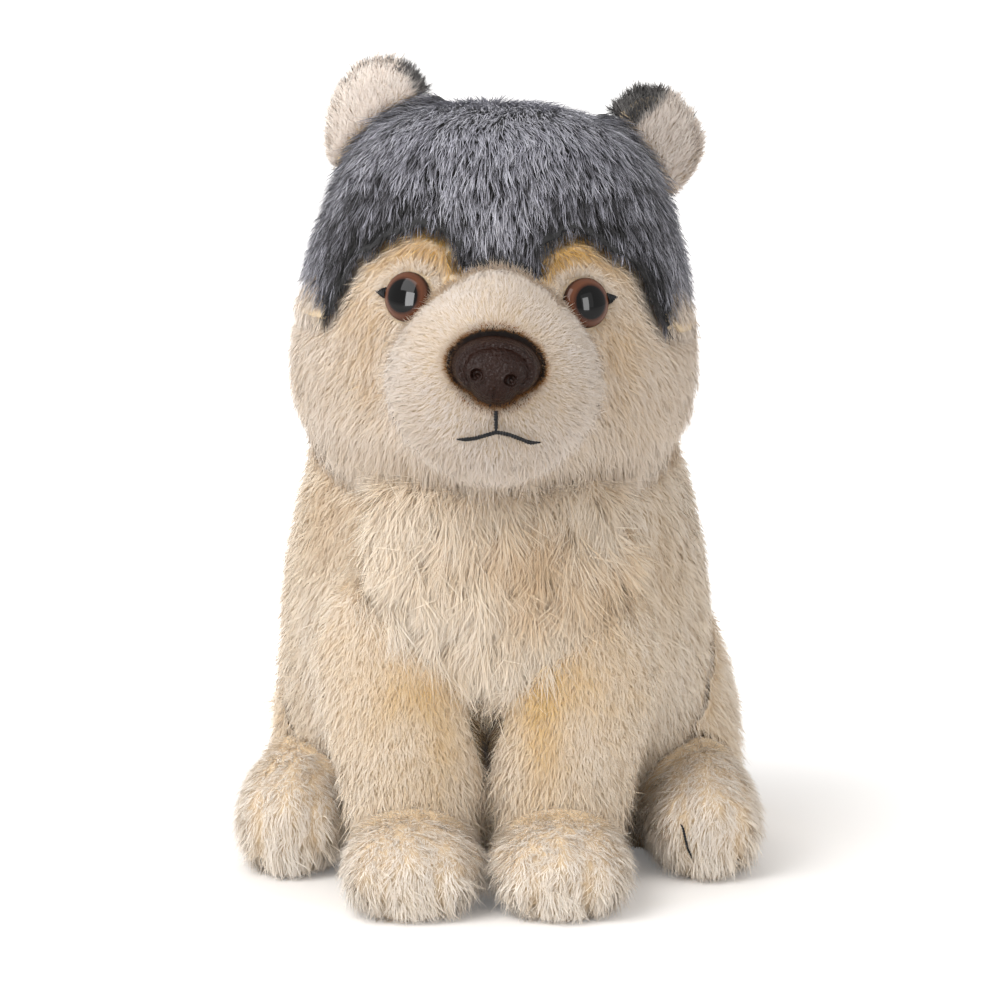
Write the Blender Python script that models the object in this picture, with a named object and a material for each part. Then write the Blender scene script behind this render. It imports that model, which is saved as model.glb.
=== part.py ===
"""A sitting plush wolf, stuffed and sewn, with moulded eyes and nose.

Metres, +Z up. The wolf faces -Y and sits on z = 0, with X = 0 between its feet.
Each stuffed piece is a closed lobe lofted along a curved axis. Where two lobes are
sewn together, one keeps its full form and the other is cut back by a grown copy of it.
"""
import math

import bmesh
import bpy
import numpy as np
from mathutils import Matrix, Vector
from mathutils.bvhtree import BVHTree

# Seams and floor
SEAM_GAP = 0.0003            # clearance between pieces that are sewn or pressed together
FLOOR = 0.0

# Body
TORSO_TOP = 0.150            # top of the body lobe, hidden inside the head
TORSO_DIP = 0.015            # how far the lobe would reach below its flat seat
TORSO_HALF_WIDTHS = (0.060, 0.0650, 0.0632, 0.0615, 0.062)
TORSO_HALF_FRONTS = (0.050, 0.0600, 0.0620, 0.0570, 0.048)
TORSO_HALF_BACKS = (0.052, 0.0580, 0.0545, 0.0480, 0.044)
TORSO_LEAN = (0.018, 0.014, 0.004, -0.004, -0.006)
PANEL_THICKNESS = 0.005      # pile and backing of the grey fabric on back and crown
SADDLE_EDGE_Y = 0.034        # front edge of the grey back panel, low down
SADDLE_EDGE_RISE = 0.12      # how far that edge comes forward for each unit of height

# Head
HEAD_BASE = 0.1020
HEAD_TOP = 0.2205
HEAD_HALF_WIDTHS = (0.0580, 0.0626, 0.0580, 0.0540, 0.0530)
HEAD_HALF_FRONTS = (0.0540, 0.0560, 0.0520, 0.0470, 0.0450)
HEAD_HALF_BACKS = (0.0440, 0.0480, 0.0520, 0.0520, 0.0480)
HEAD_CENTRE_Y = -0.020
HEAD_ROLL = math.radians(2.0)

# Grey crown: the lower edge of the mask, right half, from the middle outwards
MASK_EDGE = (
    (0.0000, 0.1775), (0.0125, 0.1745), (0.0118, 0.1828), (0.0220, 0.1868),
    (0.0385, 0.1765), (0.0470, 0.1570), (0.0800, 0.1530),
)
MASK_FLOOR = 0.060
MASK_FRONT_Y = -0.140
HOOD_EDGE_Y = 0.002          # where the crown fabric turns down behind the cheeks
HOOD_EDGE_SLOPE = 0.5

# Muzzle
MUZZLE_HALF_WIDTH = 0.0325
MUZZLE_CENTRE_Z = 0.1497
MUZZLE_PROUD = 0.032         # how far the muzzle stands out of the face
MUZZLE_SUNK = 0.040          # how far it would reach into the head
MUZZLE_PROFILE = (0.74, 0.80, 0.88, 1.00, 1.00)
MUZZLE_PINCH = 0.30          # how much narrower it is over the bridge, between the eyes

# Ears
EAR_X = {"left": -0.0350, "right": 0.0400}
EAR_SET_BACK = 0.014         # behind the middle of the head
EAR_SUNK = {"left": 0.0220, "right": 0.0140}    # how far the root reaches into the head
EAR_HEIGHT = 0.0205          # above the crown where it is sewn on
EAR_HALF_WIDTH = 0.0165
EAR_HALF_THICKNESS = 0.0042
EAR_RIM = 0.0016             # how far the grey back shows round the cream front
EAR_TURN = {"left": math.radians(-16), "right": math.radians(30)}
EAR_SPLAY = {"left": 0.0004, "right": 0.0020}   # the root stands this much further in
EAR_LIFT = {"left": -0.0042, "right": -0.0022}
EAR_LEAN = {"left": 0.0002, "right": 0.0032}    # how far the tip leans outwards
EAR_TAPER = (1.0, 0.94, 0.56)    # shares of its width at the root, the middle and the tip

# Moulded eyes, each held by a washer behind the fabric
EYE_SPACING = 0.0492
EYE_Z = 0.1680
EYE_RADIUS = 0.0070
EYE_DOME = 0.0046
EYE_RIM = 0.0012
EYE_SUNK = 0.0012
SHANK_RADIUS = 0.0019
SHANK_LENGTH = 0.0120
SHANK_RIBS = 2
WASHER_RADIUS = 0.0055
WASHER_THICKNESS = 0.0014
WASHER_DEPTH = 0.0045        # behind the back of the eye or nose

# Moulded nose
NOSE_WIDTH = 0.0249
NOSE_HEIGHT = 0.0197
NOSE_Z = 0.1546
NOSE_PROUD = 0.0078
NOSE_SUNK = 0.0030
NOSTRIL_SPACING = 0.0092
NOSTRIL_DROP = 0.0016
NOSTRIL_RADIUS = 0.0021
NOSTRIL_DEPTH = 0.0016
NOSE_GROOVE_DEPTH = 0.0010
NOSE_GROOVE_WIDTH = 0.0009
NOSE_NARROWING = 0.26        # how much narrower the nose is at its lower edge

# Stitches
THREAD_RADIUS = 0.00055
MOUTH_BELOW_NOSE = 0.00155   # from the nose's lower edge to the top of the mouth's stem
MOUTH_STEM = 0.0060
MOUTH_HALF_WIDTH = {"left": 0.0106, "right": 0.0122}
MOUTH_DROP = {"left": 0.0020, "right": 0.0030}
LID_LENGTH = 0.0034
LID_RADIUS = 0.0012
TOE_STITCH_TOP = {"front": 0.85, "hind": 0.50}    # share of a paw's height where they start
TOE_STITCH_LENGTH = 0.0100
TOE_STITCH_LIFT = 0.0007     # the toe stitches bed on the pile over a rounded toe

# Chest ruff of long pile
RUFF_TOP = 0.126
RUFF_BOTTOM = 0.054
RUFF_HALF_WIDTH = 0.0400
RUFF_PROUD = 0.0105
RUFF_SUNK = 0.016

# Front legs and paws
MIDLINE = -0.0026            # where the two front legs press together
LEG_HALF_WIDTHS = (0.0200, 0.0210, 0.0232, 0.0262, 0.0270)
LEG_HALF_DEPTHS = (0.0160, 0.0165, 0.0175, 0.0190, 0.0190)
LEG_TOP = 0.088
LEG_FOOT = 0.006
LEG_SPREAD = 0.0068          # the shoulders stand wider than the paws
LEG_REACH = 0.004            # how far the ankle stands in front of the chest
PAW_LENGTH = 0.052
PAW_HALF_WIDTH = 0.0206
PAW_HEIGHT = 0.0265
PAW_TOE = -0.1040
PAW_MIDDLE = 0.45            # height of a paw's widest line, as a share of its height
PAW_TOE_DROP = 0.85          # how much lower that line runs at the toes
PAW_FLATTENING = 1.15        # how far the rounded underside would reach through the floor
TOE_SPACING = 0.0147
TOE_GROOVE_DEPTH = 0.0020
TOE_GROOVE_WIDTH = 0.0024
TOE_GROOVE_REACH = 0.45      # share of the paw's length that the toe lines run back

# Hind legs
HAUNCH_HALF_WIDTH = {"left": 0.0205, "right": 0.0272}
HAUNCH_HALF_DEPTH = 0.036
HAUNCH_TOP = 0.070
HAUNCH_DIP = 0.026           # how far it would reach below the floor it is flattened on
HAUNCH_X = 0.0460
HAUNCH_Y = 0.018
HAUNCH_KNEE = 0.006          # how far its foot lies in front of its middle
HAUNCH_HIP = 0.004           # how far its top lies behind its middle
FOOT_X = {"left": 0.0595, "right": 0.0610}
FOOT_HALF_WIDTH = 0.0185
FOOT_HEIGHT = 0.0350
FOOT_TOE = {"left": -0.0550, "right": -0.0590}
FOOT_LENGTH = 0.070
FOOT_SPLAY = 0.0060

# Tail, lying behind
TAIL_LENGTH = 0.078
TAIL_HALF_WIDTH = 0.0135
TAIL_CURL = math.radians(75)

# Colours and finishes: red, green, blue, roughness
CREAM = (0.71, 0.58, 0.44, 0.95)
PALE_CREAM = (0.77, 0.66, 0.55, 0.95)
GOLD_CREAM = (0.80, 0.62, 0.41, 0.95)
GREY_PILE = (0.27, 0.27, 0.31, 0.95)
EAR_GREY = (0.08, 0.08, 0.08, 0.95)
EYE_BROWN = (0.05, 0.02, 0.012, 0.12)
NOSE_BROWN = (0.045, 0.02, 0.012, 0.42)
NYLON = (0.75, 0.74, 0.70, 0.50)
BLACK_THREAD = (0.015, 0.016, 0.02, 0.80)

SIDES = {"left": -1, "right": 1}
TURN_START = math.radians(7)    # where a turned piece's first facet edge stands


def clear_scene():
    for old in list(bpy.data.objects):
        bpy.data.objects.remove(old, do_unlink=True)


def finish_material(name, look):
    material = bpy.data.materials.new(name)
    material.use_nodes = True
    shader = material.node_tree.nodes["Principled BSDF"]
    shader.inputs["Base Color"].default_value = (*look[:3], 1.0)
    shader.inputs["Roughness"].default_value = look[3]
    shader.inputs["Metallic"].default_value = 0.0
    material.diffuse_color = (*look[:3], 1.0)
    return material


def mesh_from(name, rings, poles):
    """A closed mesh over a stack of rings, with a fan to a pole at each end.

    It is all triangles, so that a form and its grown copy bend along the same edges.
    """
    count, segments = rings.shape[:2]
    points = np.vstack([rings.reshape(-1, 3), poles])
    first_pole, last_pole = count * segments, count * segments + 1
    faces = []
    for ring in range(count - 1):
        for step in range(segments):
            here = ring * segments + step
            beside = ring * segments + (step + 1) % segments
            faces.append((here, beside, beside + segments))
            faces.append((here, beside + segments, here + segments))
    top = (count - 1) * segments
    for step in range(segments):
        beside = (step + 1) % segments
        faces.append((first_pole, beside, step))
        faces.append((last_pole, top + step, top + beside))
    mesh = bpy.data.meshes.new(name)
    mesh.from_pydata([tuple(p) for p in points], [], faces)
    shape = bmesh.new()
    shape.from_mesh(mesh)
    bmesh.ops.recalc_face_normals(shape, faces=shape.faces)
    shape.to_mesh(mesh)
    shape.free()
    return mesh


def through(values, along):
    """A smooth curve through equally spaced values, read at shares of its length."""
    values = np.asarray(values, float)
    spans = len(values) - 1
    place = np.clip(along, 0.0, 1.0) * spans
    start = np.minimum(place.astype(int), spans - 1)
    share = place - start
    if values.ndim > 1:
        share = share[:, None]
    before = values[np.maximum(start - 1, 0)]
    a, b = values[start], values[start + 1]
    after = values[np.minimum(start + 2, spans)]
    slope_a, slope_b = (b - before) / 2, (after - a) / 2
    blend = share * share * (3 - 2 * share)
    return (a + (b - a) * blend + slope_a * share * (1 - share) ** 2
            - slope_b * share ** 2 * (1 - share))


def lobe(axis, widths, fronts, backs, grow=0.0, side=(1, 0, 0), fullness=0.8,
         segments=20, rings=12, floor=None, pinch=0.0):
    """A stuffed lobe: rings along a smooth axis, swelling and closing at both ends.

    The half sizes across it are widths to each side, fronts and backs; grow moves
    the whole surface outwards, floor flattens what would reach below it, and pinch
    narrows it towards its back.
    """
    polar = np.linspace(0.0, math.pi, rings + 2)
    along = (1 - np.cos(polar)) / 2
    swell = np.sin(polar) ** fullness
    spine = through(axis, along)
    heading = np.gradient(through(axis, np.linspace(0, 1, 41)), axis=0)
    heading = np.stack([np.interp(along, np.linspace(0, 1, 41), heading[:, k]) for k in range(3)], 1)
    heading /= np.linalg.norm(heading, axis=1)[:, None]
    across = np.asarray(side, float) - heading * (heading @ np.asarray(side, float))[:, None]
    across /= np.linalg.norm(across, axis=1)[:, None]
    facing = np.cross(across, heading)
    spine = spine - heading * (grow * np.cos(polar))[:, None]
    turn = np.linspace(0.0, 2 * math.pi, segments, endpoint=False)
    wide = (through(widths, along) + grow) * swell
    front = (through(fronts, along) + grow) * swell
    back = (through(backs, along) + grow) * swell
    narrowing = 1.0 - pinch * np.clip(np.sin(turn), 0.0, 1.0) ** 2
    out = (np.cos(turn) * narrowing)[None, :] * wide[:, None]
    depth = np.sin(turn)[None, :]
    depth = np.where(depth > 0, depth * back[:, None], depth * front[:, None])
    points = (spine[:, None, :] + across[:, None, :] * out[..., None]
              - facing[:, None, :] * depth[..., None])
    if floor is not None:
        points[..., 2] = np.maximum(points[..., 2], floor - grow)
    return points[1:-1], np.stack([points[0, 0], points[-1, 0]])


def rolled(points):
    """Tilts points of the head about its middle, viewer's right side down."""
    middle = np.array([0.0, 0.0, (HEAD_BASE + HEAD_TOP) / 2])
    turn = np.array(Matrix.Rotation(HEAD_ROLL, 3, "Y"))
    return (points - middle) @ turn.T + middle


def tilted(form):
    return rolled(form[0]), rolled(form[1])


def hit(form, start, direction):
    """Where a ray first meets a form, as a point and the surface's normal."""
    rings, poles = form
    mesh = mesh_from("probe", rings, poles)
    shape = bmesh.new()
    shape.from_mesh(mesh)
    tree = BVHTree.FromBMesh(shape)
    place, normal, _, _ = tree.ray_cast(Vector(start), Vector(direction))
    shape.free()
    bpy.data.meshes.remove(mesh)
    return np.array(place), np.array(normal)


# The stuffed forms, each grown by any clearance asked for

def torso_form(grow=0.0):
    heights = np.linspace(-TORSO_DIP, TORSO_TOP, len(TORSO_LEAN))
    axis = [(0.0, lean, height) for lean, height in zip(TORSO_LEAN, heights)]
    return lobe(axis, TORSO_HALF_WIDTHS, TORSO_HALF_FRONTS, TORSO_HALF_BACKS, grow,
                fullness=0.6, segments=22, rings=11, floor=FLOOR)


def head_form(grow=0.0):
    axis = [(0.0, HEAD_CENTRE_Y, HEAD_BASE), (0.0, HEAD_CENTRE_Y, HEAD_TOP)]
    return tilted(lobe(axis, HEAD_HALF_WIDTHS, HEAD_HALF_FRONTS, HEAD_HALF_BACKS, grow,
                       segments=22, rings=13))


def face_spot(x, z):
    """A place on the face, given as on the upright head, with its normal."""
    start = rolled(np.array([x, MASK_FRONT_Y, z]))
    return hit(head_form(), start, (0, 1, 0))


def muzzle_form(grow=0.0):
    face = face_spot(0.0, MUZZLE_CENTRE_Z)[0][1]
    axis = [(0.0, face + MUZZLE_SUNK, MUZZLE_CENTRE_Z), (0.0, face - MUZZLE_PROUD, MUZZLE_CENTRE_Z)]
    half = [MUZZLE_HALF_WIDTH * share for share in MUZZLE_PROFILE]
    return tilted(lobe(axis, half, half, half, grow, fullness=0.78, segments=20, rings=10,
                       pinch=MUZZLE_PINCH))


def ear_form(which, back, grow=0.0):
    """One half of an ear: the cream front, or the grey back that shows round it."""
    sign = SIDES[which]
    above = np.array([EAR_X[which], HEAD_CENTRE_Y + EAR_SET_BACK, HEAD_TOP + EAR_HEIGHT])
    crown = hit(head_form(), rolled(above), (0, 0, -1))[0]
    height = EAR_HEIGHT + EAR_LIFT[which] - (0.0 if back else EAR_RIM)
    shift = EAR_HALF_THICKNESS * (0.75 if back else 0.0)
    extra = EAR_RIM if back else 0.0
    root = crown + np.array([-sign * EAR_SPLAY[which], shift, -EAR_SUNK[which]])
    waist = crown + np.array([sign * EAR_LEAN[which] * 0.4, shift, height * 0.35])
    tip = crown + np.array([sign * EAR_LEAN[which], shift, height])
    half = [EAR_HALF_WIDTH * share + extra for share in EAR_TAPER]
    thick = [EAR_HALF_THICKNESS] * 3
    turn = EAR_TURN[which]
    across = (math.cos(turn), math.sin(turn), 0)
    return lobe([root, waist, tip], half, thick, thick, grow, side=across, fullness=0.72,
                segments=16, rings=8)


def ruff_form(grow=0.0):
    middle = (RUFF_TOP + RUFF_BOTTOM) / 2
    chest = hit(torso_form(), (0.0, MASK_FRONT_Y, middle), (0, 1, 0))[0][1]
    lean = (RUFF_PROUD + RUFF_SUNK) / 2 - RUFF_PROUD
    axis = [(0.0, chest + lean, RUFF_BOTTOM), (0.0, chest + lean, RUFF_TOP)]
    thick = [(RUFF_PROUD + RUFF_SUNK) / 2] * 2
    widths = (RUFF_HALF_WIDTH * 0.55, RUFF_HALF_WIDTH * 0.9, RUFF_HALF_WIDTH, RUFF_HALF_WIDTH)
    return lobe(axis, widths, thick, thick, grow, fullness=0.8, segments=18, rings=9)


def leg_x(which, half_width):
    """Where a front leg's axis runs, so that the legs just meet at the midline."""
    return MIDLINE + SIDES[which] * (half_width + SEAM_GAP / 2)


def pressed(form, which, grow):
    """Flattens a leg or paw where it presses against its twin at the midline."""
    rings, poles = form
    sign = SIDES[which]
    wall = sign * MIDLINE + SEAM_GAP / 2 - grow
    rings[..., 0] = sign * np.maximum(sign * rings[..., 0], wall)
    return rings, poles


def leg_form(which, grow=0.0):
    sign = SIDES[which]
    chest = hit(torso_form(), (sign * LEG_HALF_WIDTHS[-1], MASK_FRONT_Y, LEG_TOP / 2), (0, 1, 0))[0][1]
    x = leg_x(which, LEG_HALF_WIDTHS[0])
    ankle = chest - LEG_REACH
    axis = [(x, ankle, LEG_FOOT), (x, ankle, LEG_TOP * 0.3),
            (x + sign * LEG_SPREAD * 0.6, ankle + LEG_REACH * 0.5, LEG_TOP * 0.65),
            (x + sign * LEG_SPREAD, ankle + LEG_REACH * 2, LEG_TOP)]
    form = lobe(axis, LEG_HALF_WIDTHS, LEG_HALF_DEPTHS, LEG_HALF_DEPTHS, grow,
                fullness=0.55, segments=16, rings=9)
    return pressed(form, which, grow)


def grooved(points, starts, slope, toe, length, top, grow):
    """Sinks the toe lines into the front of a paw, softly, as pulled stitches do.

    Each line starts at the toe and runs back along the paw, fading at its middle.
    """
    for start in starts:
        line = start + slope * (toe - points[..., 1])
        near = np.exp(-((points[..., 0] - line) / TOE_GROOVE_WIDTH) ** 2)
        ahead = np.clip((toe + length * TOE_GROOVE_REACH - points[..., 1]) / (length * 0.3), 0.0, 1.0)
        points[..., 1] += TOE_GROOVE_DEPTH * near * ahead
        points[..., 2] -= TOE_GROOVE_DEPTH * near * ahead * (points[..., 2] > top)
    points[..., 2] = np.maximum(points[..., 2], FLOOR - grow)
    return points


def paw_lobe(x_heel, x_toe, toe, length, half_width, height, grow):
    """A paw lying on the floor, high at the ankle and rounded down at the toes."""
    heel = toe + length
    middle = height * PAW_MIDDLE
    axis = [(x_heel, heel, middle), ((x_heel + x_toe) / 2, (heel + toe) / 2, middle),
            (x_toe, toe, middle * PAW_TOE_DROP)]
    up = [height - middle] * 3
    down = [middle * PAW_FLATTENING] * 3
    rings, poles = lobe(axis, [half_width] * 3, up, down, grow, fullness=0.58,
                        segments=20, rings=9, floor=FLOOR)
    slope = (x_toe - x_heel) / length
    starts = [x_toe + step * TOE_SPACING / 2 for step in (-1, 1)]
    rings = grooved(rings, starts, slope, toe, length, middle, grow)
    return rings, poles


def front_paw_form(which, grow=0.0):
    x = leg_x(which, PAW_HALF_WIDTH)
    paw = paw_lobe(x, x, PAW_TOE, PAW_LENGTH, PAW_HALF_WIDTH, PAW_HEIGHT, grow)
    return pressed(paw, which, grow)


def hind_foot_form(which, grow=0.0):
    sign = SIDES[which]
    return paw_lobe(sign * (FOOT_X[which] - FOOT_SPLAY), sign * FOOT_X[which], FOOT_TOE[which],
                    FOOT_LENGTH, FOOT_HALF_WIDTH, FOOT_HEIGHT, grow)


def haunch_form(which, grow=0.0):
    sign = SIDES[which]
    x = sign * HAUNCH_X
    axis = [(x, HAUNCH_Y - HAUNCH_KNEE, -HAUNCH_DIP), (x, HAUNCH_Y, HAUNCH_TOP * 0.4),
            (x * 0.9, HAUNCH_Y + HAUNCH_HIP, HAUNCH_TOP)]
    half = [HAUNCH_HALF_WIDTH[which]] * 3
    deep = [HAUNCH_HALF_DEPTH] * 3
    return lobe(axis, half, deep, deep, grow, fullness=0.75, segments=16, rings=10, floor=FLOOR)


def tail_form(grow=0.0):
    """The tail leaves the rump low down and curls round to one side."""
    rump = hit(torso_form(), (0.0, 1.0, TAIL_HALF_WIDTH), (0, -1, 0))[0][1]
    radius = TAIL_LENGTH / TAIL_CURL
    angles = np.linspace(0.0, TAIL_CURL, 5)
    start_y = rump - TAIL_HALF_WIDTH * 1.2
    axis = [(radius * (1 - math.cos(a)), start_y + radius * math.sin(a) * 0.62, TAIL_HALF_WIDTH * 0.92)
            for a in angles]
    widths = (TAIL_HALF_WIDTH * 0.8, TAIL_HALF_WIDTH, TAIL_HALF_WIDTH, TAIL_HALF_WIDTH * 0.9,
              TAIL_HALF_WIDTH * 0.5)
    return lobe(axis, widths, widths, widths, grow, side=(0, 0, 1), fullness=0.6,
                segments=14, rings=8, floor=FLOOR)


# Cutting regions of the two grey panels

def outline_grown(outline, grow):
    """Moves the points of an open line sideways, to the left of its direction."""
    line = np.asarray(outline, float)
    heading = np.gradient(line, axis=0)
    heading /= np.linalg.norm(heading, axis=1)[:, None]
    return line + np.stack([-heading[:, 1], heading[:, 0]], 1) * grow


def face_region(name, grow=0.0):
    """What lies below the mask's edge and in front of the hood's, as a solid."""
    right = np.asarray(MASK_EDGE, float)
    left = right[:0:-1] * (-1, 1)
    edge = outline_grown(np.vstack([left, right]), grow)
    low = np.array([(edge[-1, 0], MASK_FLOOR), (edge[0, 0], MASK_FLOOR)])
    outline = np.vstack([edge, low])
    turn_z = MASK_EDGE[-1][1]
    rear_y = HOOD_EDGE_Y + grow + (turn_z - outline[:, 1]) * HOOD_EDGE_SLOPE
    front = np.stack([outline[:, 0], np.full(len(outline), MASK_FRONT_Y), outline[:, 1]], 1)
    rear = np.stack([outline[:, 0], rear_y, outline[:, 1]], 1)
    rings = rolled(np.stack([front, rear]))
    count = len(outline)
    faces = [tuple(range(count)), tuple(range(2 * count - 1, count - 1, -1))]
    faces += [(k, k + count, (k + 1) % count + count, (k + 1) % count) for k in range(count)]
    return solid(name, rings.reshape(-1, 3), faces)


def saddle_region(name, grow=0.0):
    """What lies behind the back panel's edge, as a solid wedge across the body."""
    wide = max(TORSO_HALF_WIDTHS) * 2
    low, high, far = -TORSO_DIP, TORSO_TOP * 1.2, TORSO_TOP
    low_y = SADDLE_EDGE_Y - grow
    high_y = low_y - SADDLE_EDGE_RISE * (high - low)
    profile = [(low_y, low), (far, low), (far, high), (high_y, high)]
    points = [(x, y, z) for x in (-wide, wide) for y, z in profile]
    faces = [(0, 1, 2, 3), (7, 6, 5, 4)]
    faces += [(k, k + 4, (k + 1) % 4 + 4, (k + 1) % 4) for k in range(4)]
    return solid(name, points, faces)


# Building objects

def solid(name, points, faces):
    mesh = bpy.data.meshes.new(name)
    mesh.from_pydata([tuple(p) for p in points], [], faces)
    shape = bmesh.new()
    shape.from_mesh(mesh)
    bmesh.ops.recalc_face_normals(shape, faces=shape.faces)
    shape.to_mesh(mesh)
    shape.free()
    thing = bpy.data.objects.new(name, mesh)
    bpy.context.scene.collection.objects.link(thing)
    return thing


def place(name, form, material=None):
    thing = bpy.data.objects.new(name, mesh_from(name, *form))
    bpy.context.scene.collection.objects.link(thing)
    if material is not None:
        thing.data.materials.append(material)
    thing.data.shade_smooth()
    return thing


def as_guide(thing):
    thing.hide_render = True
    thing.display_type = "WIRE"
    return thing


def guide(name, form):
    return as_guide(place(name, form))


def boolean(thing, other, operation="DIFFERENCE"):
    modifier = thing.modifiers.new(other.name, "BOOLEAN")
    modifier.operation = operation
    modifier.solver = "EXACT"
    modifier.object = other


def cut_back(thing, *others):
    for other in others:
        boolean(thing, other)


def turned(name, profile, base, direction, segments, material=None):
    """A turned solid: a profile of (distance along the axis, radius) pairs."""
    direction = Vector(direction).normalized()
    frame = np.array(direction.to_track_quat("Z", "Y").to_matrix())
    profile = np.asarray(profile, float)
    angle = TURN_START + np.linspace(0, 2 * math.pi, segments, endpoint=False)
    inner = profile[1:-1]
    rings = np.stack([
        np.cos(angle)[None, :] * inner[:, 1, None],
        np.sin(angle)[None, :] * inner[:, 1, None],
        np.repeat(inner[:, 0, None], segments, 1),
    ], -1)
    poles = np.array([(0, 0, profile[0, 0]), (0, 0, profile[-1, 0])])
    base = np.asarray(base, float)
    return place(name, (rings @ frame.T + base, poles @ frame.T + base), material)


def shank_profile(back):
    """A ribbed shank that ends in a chamfer, from its tip to the part's back."""
    tip = back - SHANK_LENGTH
    points = [(tip, 0.0), (tip, SHANK_RADIUS * 0.6), (tip + 0.0012, SHANK_RADIUS)]
    pitch = (SHANK_LENGTH - 0.004) / SHANK_RIBS
    for rib in range(SHANK_RIBS):
        start = tip + 0.0015 + rib * pitch
        points += [(start + pitch * 0.5, SHANK_RADIUS), (start + pitch * 0.6, SHANK_RADIUS * 0.85),
                   (start + pitch * 0.9, SHANK_RADIUS * 0.85)]
    points.append((back, SHANK_RADIUS * 0.95))
    return points


def eye_profile():
    """A low dome with a rolled rim over its ribbed shank."""
    arc = np.linspace(0.0, math.pi / 2, 6)
    dome = [(EYE_RIM + math.sin(a) * (EYE_DOME - EYE_RIM), math.cos(a) * EYE_RADIUS) for a in arc[:-1]]
    rim = [(0.0, EYE_RADIUS * 0.94), (EYE_RIM * 0.4, EYE_RADIUS)]
    return shank_profile(0.0) + rim + dome + [(EYE_DOME, 0.0)]


def washer(name, base, direction, material):
    """A flat ring that is pressed over a shank, built as a band with a bore."""
    direction = Vector(direction).normalized()
    frame = np.array(direction.to_track_quat("Z", "Y").to_matrix())
    bore = SHANK_RADIUS + SEAM_GAP
    back = -WASHER_DEPTH - WASHER_THICKNESS
    front = -WASHER_DEPTH
    section = [(bore, back), (WASHER_RADIUS, back), (WASHER_RADIUS, front), (bore, front)]
    segments = 10
    points = []
    for step in range(segments):
        angle = 2 * math.pi * step / segments
        for radius, height in section:
            spot = np.array([math.cos(angle) * radius, math.sin(angle) * radius, height])
            points.append(frame @ spot + base)
    faces = []
    for step in range(segments):
        a, b = step * 4, (step + 1) % segments * 4
        faces += [(a + k, a + (k + 1) % 4, b + (k + 1) % 4, b + k) for k in range(4)]
    thing = solid(name, points, faces)
    thing.data.materials.append(material)
    return thing


def fastening_room(name, base, direction, seat=()):
    """The hollow round a shank and its washer, opening into the seat in front."""
    tip = -SHANK_LENGTH - SEAM_GAP
    radius = SHANK_RADIUS + SEAM_GAP
    back = -WASHER_DEPTH - WASHER_THICKNESS - SEAM_GAP
    front = -WASHER_DEPTH + SEAM_GAP
    wide = WASHER_RADIUS + SEAM_GAP
    profile = [(tip, 0.0), (tip, radius), (back, radius), (back, wide), (front, wide), (front, radius)]
    profile += list(seat) or [(EYE_RIM, radius), (EYE_RIM, 0.0)]
    return as_guide(turned(name, profile, base, direction, 14))


def eye_room(name, base, direction):
    """The room of an eye: its seat on the fabric, its shank hole and its washer."""
    wide = EYE_RADIUS + SEAM_GAP
    out = EYE_DOME * 3
    seat = [(-SEAM_GAP, SHANK_RADIUS + SEAM_GAP), (-SEAM_GAP, wide), (out, wide), (out, 0.0)]
    return fastening_room(name, base, direction, seat)


def nose_form(centre, grow=0.0):
    """A soft triangle, wide above and narrow below, bulging forwards in a dome."""
    polar = np.linspace(0.0, math.pi / 2, 7)
    turn = TURN_START + np.linspace(0, 2 * math.pi, 22, endpoint=False)
    up = np.sin(turn)
    narrow = 1.0 - NOSE_NARROWING * np.clip(-up, 0, 1) ** 1.5
    half_x = np.sign(np.cos(turn)) * np.abs(np.cos(turn)) ** 0.85 * (NOSE_WIDTH / 2 + grow) * narrow
    half_z = np.sign(up) * np.abs(up) ** 0.9 * (NOSE_HEIGHT / 2 + grow)
    rings = []
    for height, size in zip(np.sin(polar), np.cos(polar) ** 0.8):
        x, z = half_x * size, half_z * size
        y = np.full_like(x, -(NOSE_PROUD + grow) * height)
        for side in (-1, 1):
            away = np.hypot(x - side * NOSTRIL_SPACING / 2, z + NOSTRIL_DROP) / NOSTRIL_RADIUS
            y += NOSTRIL_DEPTH * np.exp(-away ** 2)
        y += NOSE_GROOVE_DEPTH * np.exp(-(x / NOSE_GROOVE_WIDTH) ** 2) * (z < -NOSTRIL_DROP)
        rings.append(np.stack([x, y, z], 1))
    back = np.stack([half_x * 0.97, np.full_like(half_x, NOSE_SUNK + grow), half_z * 0.97], 1)
    rings = np.array([back] + rings[:-1])
    poles = np.array([(0, NOSE_SUNK + grow, 0), (0, -NOSE_PROUD - grow, 0)])
    return rings + centre, poles + centre


def thread(name, points, radius, material, ends=(0.6, 0.6)):
    """Sewing thread as a tube through its points, thinner at its closed ends."""
    points = np.asarray(points, float)
    heading = np.gradient(points, axis=0)
    heading /= np.linalg.norm(heading, axis=1)[:, None]
    across = np.cross(heading, (0.0, 1.0, 0.0))
    across /= np.linalg.norm(across, axis=1)[:, None]
    other = np.cross(heading, across)
    angle = np.linspace(0, 2 * math.pi, 6, endpoint=False)
    swell = np.ones(len(points))
    swell[[0, -1]] = ends
    rings = (points[:, None, :]
             + across[:, None, :] * (np.cos(angle)[None, :] * radius * swell[:, None])[..., None]
             + other[:, None, :] * (np.sin(angle)[None, :] * radius * swell[:, None])[..., None])
    poles = np.stack([points[0] - heading[0] * radius * 0.5, points[-1] + heading[-1] * radius * 0.5])
    return place(name, (rings, poles), material)


def laid_on(form, flat_points, start_y=MASK_FRONT_Y):
    """Drops points of a front view back onto a form."""
    rings, poles = form
    mesh = mesh_from("probe", rings, poles)
    shape = bmesh.new()
    shape.from_mesh(mesh)
    tree = BVHTree.FromBMesh(shape)
    laid = [np.array(tree.ray_cast(Vector((x, start_y, z)), Vector((0, 1, 0)))[0]) for x, z in flat_points]
    shape.free()
    bpy.data.meshes.remove(mesh)
    return np.array(laid)


# Assembly

clear_scene()

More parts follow.
